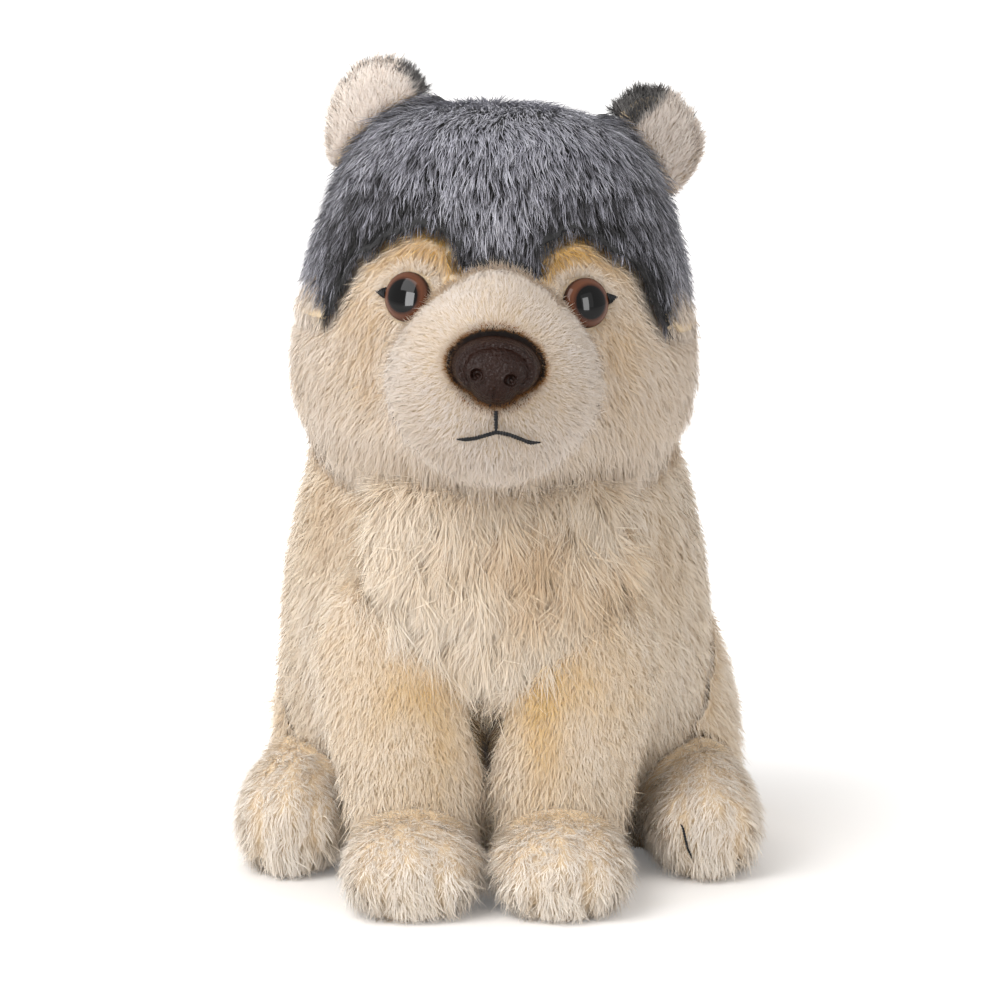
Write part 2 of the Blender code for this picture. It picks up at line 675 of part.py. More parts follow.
cream = finish_material("cream_plush", CREAM)
pale = finish_material("pale_plush", PALE_CREAM)
gold = finish_material("gold_plush", GOLD_CREAM)
grey = finish_material("grey_plush", GREY_PILE)
ear_grey = finish_material("charcoal_plush", EAR_GREY)
eye_plastic = finish_material("eye_plastic", EYE_BROWN)
nose_plastic = finish_material("nose_plastic", NOSE_BROWN)
nylon = finish_material("nylon", NYLON)
black = finish_material("black_thread", BLACK_THREAD)

# Shared cutters: each neighbour grown by the seam gap
head_clear = guide("head_clear", head_form(SEAM_GAP))
torso_clear = guide("torso_clear", torso_form(SEAM_GAP))
muzzle_clear = guide("muzzle_clear", muzzle_form(SEAM_GAP))
ruff_clear = guide("ruff_clear", ruff_form(SEAM_GAP))

# Body and its grey back
torso_core = guide("torso_core", torso_form(-PANEL_THICKNESS))
saddle = as_guide(saddle_region("saddle_region"))
back_panel = place("back_panel", torso_form(), grey)
boolean(back_panel, saddle, "INTERSECT")
cut_back(back_panel, torso_core, head_clear)

saddle_shell = as_guide(saddle_region("saddle_shell", SEAM_GAP))
boolean(saddle_shell, guide("torso_core_clear", torso_form(-PANEL_THICKNESS - SEAM_GAP)))
torso = place("torso", torso_form(), cream)
cut_back(torso, saddle_shell, head_clear)

# Head: a stuffed core, the cream face over its front, and the grey crown
head = place("head", head_form(-PANEL_THICKNESS - SEAM_GAP), cream)
face = guide("face_front", head_form())
boolean(face, as_guide(face_region("face_region")), "INTERSECT")
boolean(head, face, "UNION")
head_cap = place("head_cap", head_form(), grey)
cut_back(head_cap, guide("head_core", head_form(-PANEL_THICKNESS)),
         as_guide(face_region("face_clear", SEAM_GAP)))

# Muzzle and nose
muzzle = place("muzzle", muzzle_form(), pale)
cut_back(muzzle, head_clear)
nose_spot = hit(muzzle_form(), (0.0, MASK_FRONT_Y, NOSE_Z), (0, 1, 0))[0]
nose = place("nose", nose_form(nose_spot), nose_plastic)
nose_back = nose_spot + np.array([0.0, NOSE_SUNK, 0.0])
nose_shank = turned("nose_shank", shank_profile(0.0) + [(0.0015, SHANK_RADIUS), (0.0015, 0.0)],
                    nose_back, (0, -1, 0), 12)
boolean(nose, as_guide(nose_shank), "UNION")
cut_back(muzzle, guide("nose_clear", nose_form(nose_spot, SEAM_GAP)),
         fastening_room("nose_room", nose_back, (0, -1, 0)))
washer("nose_washer", nose_back, (0, -1, 0), nylon)

# Eyes, each with the dark stitch at its outer corner
lid_surface = head_form(LID_RADIUS + SEAM_GAP)
for which, sign in SIDES.items():
    spot, out = face_spot(sign * EYE_SPACING / 2, EYE_Z)
    base = spot - out * EYE_SUNK
    turned("eye_" + which, eye_profile(), base, out, 14, eye_plastic)
    room = eye_room("eye_room_" + which, base, out)
    cut_back(head, room)
    cut_back(muzzle, room)
    washer("eye_washer_" + which, base, out, nylon)
    start = EYE_RADIUS + SEAM_GAP + LID_RADIUS
    line = [(base[0] + sign * (start + LID_LENGTH * t), base[2] + EYE_RADIUS * 0.2) for t in (0, 0.5, 1)]
    thread("eye_corner_" + which, laid_on(lid_surface, line), LID_RADIUS, black, ends=(0.8, 0.2))

# Mouth: one stitched line down from the nose, forking to both sides
mouth_surface = muzzle_form(THREAD_RADIUS + SEAM_GAP)
mouth_top = NOSE_Z - NOSE_HEIGHT / 2 - MOUTH_BELOW_NOSE
stem = [(0.0, mouth_top - MOUTH_STEM * t) for t in np.linspace(0.0, 1.0, 4)]
smile = [(0.0, mouth_top - MOUTH_STEM)]
for which, sign in SIDES.items():
    for t in (0.2, 0.4, 0.6, 0.8, 1.0):
        smile.append((sign * MOUTH_HALF_WIDTH[which] * t,
                      mouth_top - MOUTH_STEM - MOUTH_DROP[which] * t ** 1.5))
smile.sort()
mouth = thread("mouth_stitch", laid_on(mouth_surface, smile), THREAD_RADIUS, black)
stem_points = laid_on(mouth_surface, stem)
boolean(mouth, as_guide(thread("mouth_stem", stem_points, THREAD_RADIUS * 0.93, None)), "UNION")

# Ears
for which in SIDES:
    front = place("ear_front_" + which, ear_form(which, False), pale)
    cut_back(front, head_clear)
    rear = place("ear_back_" + which, ear_form(which, True), ear_grey)
    cut_back(rear, guide("ear_clear_" + which, ear_form(which, False, SEAM_GAP)), head_clear)

# Chest ruff
ruff = place("chest_ruff", ruff_form(), cream)
cut_back(ruff, torso_clear, head_clear, muzzle_clear)

# Legs, paws and haunches
for which, sign in SIDES.items():
    paw_clear = guide("paw_clear_" + which, front_paw_form(which, SEAM_GAP))
    foot_clear = guide("foot_clear_" + which, hind_foot_form(which, SEAM_GAP))
    leg_clear = guide("leg_clear_" + which, leg_form(which, SEAM_GAP))
    place("front_paw_" + which, front_paw_form(which), pale)
    leg = place("front_leg_" + which, leg_form(which), gold)
    cut_back(leg, torso_clear, paw_clear, ruff_clear)
    foot = place("hind_foot_" + which, hind_foot_form(which), pale)
    cut_back(foot, torso_clear, leg_clear, paw_clear)
    haunch = place("haunch_" + which, haunch_form(which), cream)
    cut_back(haunch, torso_clear, foot_clear, leg_clear)

# Toe stitches, pulled into the front of each paw
def toe_stitches(name, form_of, x_toe, top):
    surface = form_of(THREAD_RADIUS + TOE_STITCH_LIFT)
    for end, step in (("inner", -1), ("outer", 1)):
        x = x_toe + math.copysign(TOE_SPACING / 2, x_toe) * step
        line = [(x, top - TOE_STITCH_LENGTH * t) for t in np.linspace(0.0, 1.0, 5)]
        thread(f"toe_stitch_{name}_{end}", laid_on(surface, line), THREAD_RADIUS, black)


for which, sign in SIDES.items():
    toe_stitches("front_" + which, lambda grow: front_paw_form(which, grow),
                 leg_x(which, PAW_HALF_WIDTH), PAW_HEIGHT * TOE_STITCH_TOP["front"])
    toe_stitches("hind_" + which, lambda grow: hind_foot_form(which, grow),
                 sign * FOOT_X[which], FOOT_HEIGHT * TOE_STITCH_TOP["hind"])

# Tail
tail = place("tail", tail_form(), grey)
cut_back(tail, torso_clear)
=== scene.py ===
"""A sitting plush wolf: stuffed skins, combed pile, moulded eyes and nose, and stitches.

Metres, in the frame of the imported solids: +Z up, the wolf faces -Y. Each stuffed piece
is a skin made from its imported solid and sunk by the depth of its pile. The pile is a
piece of its own that stands on the skin: flat strands that taper to a tip.
"""
import math
from types import SimpleNamespace

import bmesh
import bpy
import numpy as np
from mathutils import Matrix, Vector
from mathutils.bvhtree import BVHTree


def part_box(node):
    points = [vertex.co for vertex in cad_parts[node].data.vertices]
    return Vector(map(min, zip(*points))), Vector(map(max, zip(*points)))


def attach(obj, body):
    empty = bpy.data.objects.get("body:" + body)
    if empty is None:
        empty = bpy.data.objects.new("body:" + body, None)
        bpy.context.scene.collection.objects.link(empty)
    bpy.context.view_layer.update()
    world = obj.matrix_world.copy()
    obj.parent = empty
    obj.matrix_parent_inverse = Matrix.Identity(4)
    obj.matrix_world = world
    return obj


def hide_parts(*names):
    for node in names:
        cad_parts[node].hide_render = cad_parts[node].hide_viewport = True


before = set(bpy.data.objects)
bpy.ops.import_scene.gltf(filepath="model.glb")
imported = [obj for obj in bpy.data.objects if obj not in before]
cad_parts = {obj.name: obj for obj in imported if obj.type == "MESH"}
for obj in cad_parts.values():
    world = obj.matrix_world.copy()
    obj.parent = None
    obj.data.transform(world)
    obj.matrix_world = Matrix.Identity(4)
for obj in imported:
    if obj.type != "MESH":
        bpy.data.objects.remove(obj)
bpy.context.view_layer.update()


# ---- Torso -------------------------------------------------------------------------
# The body is one bag of knitted-back plush, filled with polyester fibre. Its cream pile
# is combed down and cut to one length, and the bag is flattened where the wolf sits.

CONTACT = 0.0009             # faces this near to a neighbour are sewn or pressed to it
REACH = 0.0040               # from this far on, a neighbour no longer holds a skin back
HELD = 0.15                  # the share of its depth that a sewn edge still sinks by
PRESSED = 0.0012             # a skin's points below this height rest on the floor
FLOOR_LIFT = 0.0002          # no strand's point lies lower
ROOT_DEPTH = 0.0004          # how deep a strand's root sits in the knitted backing
BELLY = 0.42                 # how far along a strand it is widest
THREADS = ("stitch", "corner")
# Root rows are darker than tip rows: painted shade among the fibres.
CREAM_ROOTS = ("#F2E5D2", "#EAD6B9", "#CFAD82", "#8E6A40")
CREAM_TIPS = ("#FBF3E9", "#F6E9D7", "#E9D0AE", "#C09C72")
BODY_PILE = 0.0028
OWN_SHADE = 0.18             # how much of a strand's shade comes from its own face


def linear(colour):
    """A hex sRGB colour as linear red, green, blue and alpha."""
    parts = np.array([int(colour[k:k + 2], 16) for k in (1, 3, 5)]) / 255
    parts = np.where(parts <= 0.04045, parts / 12.92, ((parts + 0.055) / 1.055) ** 2.4)
    return (*parts.tolist(), 1.0)


def add(material, kind, links=(), **settings):
    """Adds a shader node; links are (socket, output) pairs, settings its other values."""
    tree = material.node_tree
    node = tree.nodes.new(kind)
    for name, value in settings.items():
        if name in node.bl_rna.properties:
            setattr(node, name, value)
        else:
            node.inputs[name.replace("_", " ")].default_value = value
    for socket, output in links:
        tree.links.new(output, node.inputs[socket])
    return node


def finish(name, **settings):
    """A material whose own shader has these settings."""
    material = bpy.data.materials.new(name)
    material.use_nodes = True
    shader = material.node_tree.nodes["Principled BSDF"]
    for socket, value in settings.items():
        shader.inputs[socket.replace("_", " ")].default_value = value
    return material, shader


def ramp(material, factor, colours, places=None):
    """A row of colours, evenly spaced unless their places are given."""
    node = add(material, "ShaderNodeValToRGB", [("Fac", factor)])
    places = places or np.linspace(0, 1, len(colours))
    stops = node.color_ramp.elements
    while len(stops) < len(colours):
        stops.new(0.5)
    for stop, place, colour in zip(stops, places, colours):
        stop.position = place
        stop.color = linear(colour)
    return node.outputs["Color"]


def pile_finish(name, roots, tips, turn=0.35):
    """Acrylic pile: dull fibres that scatter light, darker and warmer at their roots. On the grey tipped
    plush that is its dye; on the other piles it is painted shade among the fibres.

    The strands' own map gives the tone across and the way from root to tip along, so
    the colour is the root row at that tone turning into the tip row at that tone,
    halfway at about the given turn of the way along.
    """
    material, shader = finish(name, Roughness=0.72, Specular_IOR_Level=0.25,
                              Sheen_Weight=0.25, Sheen_Roughness=0.45)
    place = add(material, "ShaderNodeUVMap", uv_map="OFBake")
    split = add(material, "ShaderNodeSeparateXYZ", [("Vector", place.outputs["UV"])])
    tone, along = split.outputs["X"], split.outputs["Y"]
    turning = add(material, "ShaderNodeMapRange", [("Value", along)], interpolation_type="SMOOTHSTEP")
    turning.inputs["From Min"].default_value = turn - 0.35
    turning.inputs["From Max"].default_value = turn + 0.55
    # Roots darker than tips: painted shade among the fibres, except on the grey tipped plush, whose roots
    # are dyed.
    mix = add(material, "ShaderNodeMix", data_type="RGBA")
    tree = material.node_tree
    tree.links.new(turning.outputs["Result"], mix.inputs["Factor"])
    tree.links.new(ramp(material, tone, roots), mix.inputs["A"])
    tree.links.new(ramp(material, tone, tips), mix.inputs["B"])
    tree.links.new(mix.outputs["Result"], shader.inputs["Base Color"])
    return material


def backing_finish(name, colour):
    """Knitted polyester backing: matt, with loops 0.8 mm apart that show as fine bumps."""
    material, shader = finish(name, Base_Color=linear(colour), Roughness=0.9, Sheen_Weight=0.1)
    place = add(material, "ShaderNodeTexCoord")
    loops = add(material, "ShaderNodeTexVoronoi", [("Vector", place.outputs["Object"])], Scale=1250.0)
    bump = add(material, "ShaderNodeBump", [("Height", loops.outputs["Distance"])],
               Strength=0.5, Distance=0.0002)
    material.node_tree.links.new(bump.outputs["Normal"], shader.inputs["Normal"])
    return material


def neighbours_of(node, apart_from):
    """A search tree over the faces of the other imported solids, threads left out."""
    points, faces = [], []
    for name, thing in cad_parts.items():
        if name != node and not any(word in name for word in THREADS + apart_from):
            start = len(points)
            points += [v.co.copy() for v in thing.data.vertices]
            faces += [[start + k for k in face.vertices] for face in thing.data.polygons]
    return BVHTree.FromPolygons(points, faces)


def new_piece(name, mesh, material):
    """A mesh as a piece that rides on the wolf's one body."""
    mesh.materials.clear()
    mesh.materials.append(material)
    piece = bpy.data.objects.new(name, mesh)
    bpy.context.scene.collection.objects.link(piece)
    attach(piece, "root")
    return piece


def stuffed(node, material, depth, voxel=0.0024, panel=False, apart_from=(), shallow=None,
            warp=None):
    """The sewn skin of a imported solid, sunk by the depth of the pile that stands on it.

    The solid is joined, rebuilt in even faces and smoothed. Each point then moves in
    along its normal by the depth, but less beside a seam, and not where it rests on the
    floor. On a panel of single cloth the side that lies on the filling stays where it
    is. shallow gives the share of the depth that is left out beside a moulded piece,
    and warp moves the finished points.
    """
    shape = bmesh.new()
    shape.from_mesh(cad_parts[node].data)
    bmesh.ops.remove_doubles(shape, verts=shape.verts, dist=0.000002)
    mesh = bpy.data.meshes.new(node + "_joined")
    shape.to_mesh(mesh)
    shape.free()
    draft = bpy.data.objects.new(node + "_draft", mesh)
    bpy.context.scene.collection.objects.link(draft)
    remesh = draft.modifiers.new("even faces", "REMESH")
    remesh.mode, remesh.voxel_size, remesh.use_smooth_shade = "VOXEL", voxel, True
    ease = draft.modifiers.new("ease", "SMOOTH")
    ease.factor, ease.iterations = 0.5, 4
    made = draft.evaluated_get(bpy.context.evaluated_depsgraph_get())
    skin = bpy.data.meshes.new_from_object(made)
    bpy.data.objects.remove(draft)
    count = len(skin.vertices)
    points, out = np.empty(count * 3), np.empty(count * 3)
    skin.vertices.foreach_get("co", points)
    skin.vertex_normals.foreach_get("vector", out)
    points, out = points.reshape(-1, 3), out.reshape(-1, 3)
    tree = neighbours_of(node, apart_from)
    apart = np.array([tree.find_nearest(place, REACH)[3] or REACH for place in points])
    showing = np.clip((apart - CONTACT * 0.5) / (CONTACT * 0.5), 0, 1)
    least = 0.0 if panel else HELD
    push = depth * (least + (1 - least) * np.clip((apart - CONTACT) / (REACH - CONTACT), 0, 1))
    if shallow is not None:
        push = push * (1 - shallow(points))
    sunk = points - out * push[:, None]
    rests = points[:, 2] < PRESSED
    sunk[:, 2] = np.maximum(np.where(rests, points[:, 2], sunk[:, 2]), 0.0)
    if warp is not None:
        sunk = warp(sunk)
    skin.vertices.foreach_set("co", sunk.ravel())
    skin.update()
    skin.calc_loop_triangles()
    corners = np.empty(len(skin.loop_triangles) * 3, np.int32)
    skin.loop_triangles.foreach_get("vertices", corners)
    skin.shade_smooth()
    piece = new_piece(node + "_skin", skin, material)
    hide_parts(node)
    return SimpleNamespace(mesh=skin, points=sunk, out=out, showing=showing, corners=corners.reshape(-1, 3))


def drift(points, span, seed):
    """A slow wander between about -1 and 1: the mean of six sine waves of random heading."""
    draw = np.random.default_rng(seed)
    waves = draw.normal(size=(3, 6)) * (2 * math.pi / span) / math.sqrt(3)
    return np.sin(points @ waves + draw.random(6) * 2 * math.pi).mean(1) * 1.7


def tuft_of(points, size, seed):
    """The tuft that each point belongs to: its middle, and three fixed numbers from 0 to 1.

    Space is cut into cubes of the given size, and the fraction of a large sine of the
    cube's place gives numbers that stay the same for all points in it.
    """
    turn = np.array([(0.36, 0.48, -0.8), (-0.8, 0.6, 0.0), (0.48, 0.64, 0.6)])
    cell = np.floor(points @ turn / size)
    mixed = np.sin(cell @ np.array([(12.9898, 39.346, 73.156), (78.233, 11.135, 52.235),
                                    (37.719, 83.155, 9.151)]) + seed) * 43758.5453
    fixed = mixed - np.floor(mixed)
    return ((cell + 0.2 + 0.6 * fixed) * size) @ turn.T, fixed


def unit(vectors):
    return vectors / np.maximum(np.linalg.norm(vectors, axis=1), 1e-9)[:, None]


def flat_on(vectors, out):
    """The part of each vector that lies along the skin."""
    return vectors - out * (vectors * out).sum(1)[:, None]


def spots_on(skin, count, draw, weight=None):
    """Places spread evenly over what shows of a skin, with its normals there."""
    corners = skin.points[skin.corners]
    area = np.linalg.norm(np.cross(corners[:, 1] - corners[:, 0], corners[:, 2] - corners[:, 0]), axis=1)
    share = area * skin.showing[skin.corners].mean(1)
    if weight is not None:
        share = share * weight(corners.mean(1), skin.out[skin.corners].mean(1))
    total = np.cumsum(share)
    pick = np.searchsorted(total / total[-1], (np.arange(count) + draw.random(count)) / count)
    pick = np.minimum(pick, len(share) - 1)
    a, b = np.sqrt(draw.random(count)), draw.random(count)
    parts = np.stack([1 - a, a * (1 - b), a * b], 1)[..., None]
    return (corners[pick] * parts).sum(1), unit((skin.out[skin.corners[pick]] * parts).sum(1))


def pile(name, skin, count, comb, material, seed, weight=None):
    """A coat of strands that stands on a skin.

    Each strand is a flat kite: it leaves the skin at a rise, is widest below its middle
    and bends over to its tip. comb gives, for the places and normals of the strands, how
    they lie: their heading along the skin, length, rise at the root and at the tip,
    width, tone and how much each tuft gathers and sways. Pile is stroked flatter where
    the skin looks up. It scatters light, so each strand is shaded mostly with the
    normal of the skin under it.
    """
    draw = np.random.default_rng(seed)
    spot, out = spots_on(skin, count, draw, weight)
    lie = dict(length=0.008, rise=0.7, lay=0.25, width=0.00026, tone=0.3, spread=0.12,
               gather=0.25, tuft=0.0024, sway=0.20, uneven=0.18, mottle=0.10)
    lie.update(comb(spot, out, draw))
    keep = lie.pop("keep", None)
    if keep is not None:
        spot, out = spot[keep], out[keep]
        lie = {key: value[keep] if np.ndim(value) else value for key, value in lie.items()}
    lie = SimpleNamespace(**lie)
    count = len(spot)
    middle, fixed = tuft_of(spot, lie.tuft, seed)
    heading = unit(flat_on(lie.heading, out) + 1e-6)
    heading = unit(heading + flat_on(fixed - 0.5, out) * 2 * np.reshape(lie.sway, (-1, 1))
                   + flat_on(draw.normal(size=(count, 3)), out) * lie.spread)
    length = lie.length * (1 + lie.uneven * draw.normal(size=count)).clip(0.35, 1.6)
    length = (length * (0.85 + 0.3 * fixed[:, 0]))[:, None]
    flat = 1 - 0.65 * out[:, 2].clip(0, 1)
    rise = (lie.rise * flat)[:, None] + draw.normal(size=(count, 1)) * 0.12
    lay = (lie.lay * flat)[:, None] + draw.normal(size=(count, 1)) * 0.15
    gather = flat_on(middle - spot, out) * np.reshape(lie.gather, (-1, 1))
    root = spot - out * ROOT_DEPTH
    first = heading * np.cos(rise) + out * np.sin(rise)
    belly = root + first * length * BELLY + gather * 0.35
    last = heading * np.cos(lay) + out * np.sin(lay)
    tip = belly + last * length * (1 - BELLY) + gather * 0.65
    twist = draw.normal(size=(count, 1)) * 0.35
    side = unit(np.cross(tip - root, out))
    side = (side * np.cos(twist) + out * np.sin(twist)) * np.reshape(
        np.broadcast_to(lie.width, count) * draw.uniform(0.7, 1.3, count), (-1, 1)) / 2
    points = np.stack([root, belly + side, belly - side, tip], 1)
    points[..., 2] = np.maximum(points[..., 2], FLOOR_LIFT)
    corners = (np.arange(count) * 4)[:, None] + np.array([0, 1, 2, 2, 1, 3])
    tone = lie.tone + draw.normal(size=count) * 0.045 + (fixed[:, 1] - 0.5) * lie.mottle
    tone = np.clip(tone, 0.01, 0.99)
    end = draw.uniform(0.78, 1.0, count)
    across = tone[:, None] + np.array([0, 0.004, -0.004, -0.004, 0.004, 0])
    along = end[:, None] * np.array([0, BELLY, BELLY, BELLY, BELLY, 1])
    mesh = bpy.data.meshes.new(name)
    mesh.vertices.add(count * 4)
    mesh.vertices.foreach_set("co", points.ravel())
    mesh.loops.add(count * 6)
    mesh.polygons.add(count * 2)
    mesh.polygons.foreach_set("loop_start", np.arange(count * 2) * 3)
    mesh.loops.foreach_set("vertex_index", corners.ravel())
    mesh.uv_layers.new(name="OFBake").data.foreach_set("uv", np.stack([across, along], -1).ravel())
    mesh.update()
    own = unit(np.cross(side, tip - root))
    own = own * np.where((own * out).sum(1) < 0, -1, 1)[:, None]
    facing = unit(out * (1 - OWN_SHADE) + own * OWN_SHADE)
    mesh.normals_split_custom_set_from_vertices(np.repeat(facing, 4, axis=0).tolist())
    return new_piece(name, mesh, material)


def near(points, x, z, wide, tall=None):
    """How near each point is, seen from in front, to a place: 1 there, a bell round it."""
    tall = tall or wide
    return np.exp(-((points[:, 0] - x) / wide) ** 2 - ((points[:, 2] - z) / tall) ** 2)


def unseen_below(places, out):
    """Thins the pile under the seat, where it is pressed flat."""
    return np.where((out[:, 2] < -0.7) & (places[:, 2] < 0.004), 0.25, 1.0)


def xyz(*parts):
    """Rows of x, y and z, each given as an array or as one number for all."""
    return np.stack(np.broadcast_arrays(*parts), 1).astype(float)


def body_comb(spot, out, draw):
    """Down the body, a little outwards, and browner towards the chest."""
    heading = xyz(spot[:, 0] * 2.5, -0.12, -1)
    heading += xyz(drift(spot, 0.03, 1), drift(spot, 0.03, 2), 0) * 0.22
    front = np.clip(-out[:, 1], 0, 1)
    tone = 0.24 + 0.14 * drift(spot, 0.035, 3) + 0.16 * front * near(spot, 0, 0.10, 0.045)
    tone += 0.10 * near(spot, -0.040, 0.102, 0.012, 0.02)
    tone += 0.12 * near(spot, 0.044, 0.088, 0.014, 0.02) * front
    return dict(heading=heading, length=0.0056 + 0.001 * front, rise=1.0, lay=0.45, tone=tone,
                gather=0.12, tuft=0.0026, width=0.00023, spread=0.35, uneven=0.28)


cream_backing = backing_finish("knitted backing, cream", "#DFC8A6")
cream_pile = pile_finish("acrylic plush pile, cream", CREAM_ROOTS, CREAM_TIPS)
torso = stuffed("torso", cream_backing, BODY_PILE, voxel=0.0025)
pile("torso_pile", torso, 51000, body_comb, cream_pile, 11, unseen_below)


# ---- Grey back ---------------------------------------------------------------------
# A panel of grey plush is sewn into the back of the body bag, from the neck to the seat.
# Its fibres are dyed near black at the root and left pale grey at the tip.

GREY_ROOTS = ("#807F8A", "#444349", "#1A191B", "#0B0A09")
GREY_TIPS = ("#F8F7FE", "#DCDBE8", "#76747A", "#201E1B")


def back_comb(spot, out, draw):
    """Down the back, with slow darker patches."""
    heading = xyz(spot[:, 0] * 2 + drift(spot, 0.03, 5) * 0.25, 0, -1)
    tone = 0.42 + 0.2 * drift(spot, 0.03, 6)
    return dict(heading=heading, length=0.0100, rise=0.72, lay=0.15, tone=tone, gather=0.5,
                tuft=0.0035, width=0.00048)


grey_backing = backing_finish("knitted backing, grey", "#121112")
grey_pile = pile_finish("tipped plush pile, grey", GREY_ROOTS, GREY_TIPS, turn=0.48)
back = stuffed("back_panel", grey_backing, 0.0028, voxel=0.0029, panel=True)
pile("back_pile", back, 17500, back_comb, grey_pile, 12, unseen_below)


# ---- Head: face and cheeks ---------------------------------------------------------
# The head is a firmly filled ball with full cheeks. Its cream pile is combed out from
# the muzzle and down, and gold dye is sprayed on under the mask and beside the muzzle.

FACE_ROOTS = ("#EADCCB", "#DCC6A8", "#CC9F55", "#5A3D1C")
FACE_TIPS = ("#EEE4DA", "#E8DACA", "#E0B566", "#8F6A34")
HEAD_MIDDLE_Z = 0.16125
HEAD_ROLL = math.radians(2.0)
# The mask's lower edge on the upright head, from the peak over a brow to the temple.
MASK_X = (0.0, 0.0100, 0.0125, 0.0150, 0.0220, 0.0385, 0.0470, 0.0560, 0.0700)
MASK_Z = (0.1775, 0.1750, 0.1765, 0.1835, 0.1868, 0.1765, 0.1570, 0.1540, 0.1530)
EYE_RADIUS = 0.0070
EYE_DOME = 0.0046            # how far the dome stands off the eye's flat back
EYE_RIM = 0.0012
EYES = {}                    # the middle of each eye's back, and the way it looks
for side_name in ("left", "right"):
    eye_points = np.array([v.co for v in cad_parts["eye_" + side_name].data.vertices])
    looks = np.linalg.eigh(np.cov(eye_points.T))[1][:, 2]
    looks = looks * (-1 if looks[1] > 0 else 1)
    eye_top = eye_points[np.argmax(eye_points @ looks)]
    EYES[side_name] = (eye_top - looks * EYE_DOME, looks)
HOOD_EDGE_Y = 0.002          # where the crown's hood starts behind the cheek, level with
HOOD_EDGE_SLOPE = 0.5        # the mask's temple, and how it falls back below that
FAR_OFF = 1.0                # a distance that stands for not being beside an eye at all


def upright(spot):
    """Places on the head as if it were not tilted: x from its middle line, and height."""
    x, z = spot[:, 0], spot[:, 2] - HEAD_MIDDLE_Z
    turn = -HEAD_ROLL
    return x * math.cos(turn) + z * math.sin(turn), HEAD_MIDDLE_Z + z * math.cos(turn) - x * math.sin(turn)


def above_mask(spot):
    """How high each place lies above the lower edge of the mask."""
    x, z = upright(spot)
    return z - np.interp(np.abs(x), MASK_X, MASK_Z)


def from_eye(spot, middle, looks):
    """The vector to each place from the nearest point of an eye's axis, and its length."""
    apart = spot - middle
    along = apart @ looks
    away = apart - along[:, None] * looks
    return away, np.where(along > -0.008, np.linalg.norm(away, axis=1), FAR_OFF)


def round_eyes(spot, heading, length):
    """Turns strands beside an eye away from it and shortens those that would cover it.

    It changes both arrays in place, and returns which strands stand outside both eyes.
    """
    keep = np.ones(len(spot), bool)
    for middle, looks in EYES.values():
        away, far = from_eye(spot, middle, looks)
        close = np.exp(-(np.maximum(far - EYE_RADIUS, 0) / 0.0018) ** 2)[:, None]
        heading[:] = heading * (1 - close) + away / np.maximum(far, 1e-6)[:, None] * close * 0.9
        length *= 1 - 0.60 * close[:, 0]
        tips = spot + unit(heading) * length[:, None]
        covers = (from_eye(tips, middle, looks)[1] < EYE_RADIUS) & (far < 0.02)
        length[covers] *= np.clip((far[covers] - EYE_RADIUS) / length[covers], 0.15, 1)
        keep &= far > EYE_RADIUS * 0.97
    return keep


def face_comb(spot, out, draw):
    """Out from the muzzle and down, sprayed gold under the mask, most on the viewer's right."""
    x, z = upright(spot)
    heading = xyz(x * 13, -0.1, np.minimum(-0.80 + (z - 0.155) * 9, -0.25))
    heading += xyz(drift(spot, 0.02, 7), 0, drift(spot, 0.02, 8)) * 0.22
    low = np.clip((0.160 - z) / 0.03, 0, 1)
    length = 0.0050 + 0.0030 * low * np.clip(1.6 - np.abs(x) / 0.032, 0.25, 1)
    length += 0.0040 * np.clip((0.126 - z) / 0.008, 0, 1)
    under = -above_mask(spot)
    brow = np.clip(-out[:, 1], 0, 1) * np.exp(-((np.abs(x) - 0.020) / 0.015) ** 2)
    gold = np.where(x > 0, 0.95, 0.76) * np.exp(-(np.maximum(under, 0) / 0.0056) ** 2) * brow
    gold += 0.13 * near(xyz(np.abs(x), 0, z), 0.034, 0.148, 0.007, 0.018)
    tone = 0.22 + 0.07 * drift(spot, 0.03, 9) + 0.10 * near(spot, 0.0, 0.168, 0.040, 0.012) + gold
    keep = round_eyes(spot, heading, length)
    return dict(heading=heading, length=length, rise=0.90, lay=0.40, tone=tone, keep=keep, spread=0.30,
                gather=0.10, tuft=0.0022, width=0.00020, sway=0.16, uneven=0.28)


def outside_head(places, out):
    """Only the faces that look away from the middle of the head carry pile."""
    middle = np.array([0.0, -0.020, 0.155])
    return (((places - middle) * out).sum(1) > 0.004).astype(float)


def on_face(places, out):
    """The face and cheeks, in front of the hood and below the mask, denser round the eyes."""
    height = upright(places)[1]
    rear = HOOD_EDGE_Y + (MASK_Z[-1] - height) * HOOD_EDGE_SLOPE
    here = (above_mask(places) < 0.0015) & (places[:, 1] < rear + 0.001)
    return outside_head(places, out) * here * (1 + 2.5 * beside_eyes(places))


def beside_eyes(places):
    """How near each place is to the rim of an eye: 1 under it, fading over 3 mm."""
    far = np.min([from_eye(places, *eye)[1] for eye in EYES.values()], axis=0)
    return np.exp(-(np.maximum(far - EYE_RADIUS, 0) / 0.0022) ** 2)


face_pile = pile_finish("acrylic plush pile, gold sprayed", FACE_ROOTS, FACE_TIPS)
head = stuffed("head", cream_backing, 0.0030, voxel=0.0024,
               apart_from=("eye", "nose", "head_cap"), shallow=lambda places: 0.8 * beside_eyes(places))
pile("face_pile", head, 51000, face_comb, face_pile, 13, on_face)


# ---- Crown -------------------------------------------------------------------------
# Grey tipped plush covers the crown and nape. Its lower edge is the mask: two arched
# brows, a peak between them and a point at each temple, where the dark roots show most.

TEMPLE_X = 0.0465            # from here outwards cheek pile overlaps the mask's edge
TEMPLE_REAR_Y = 0.006        # and back to here


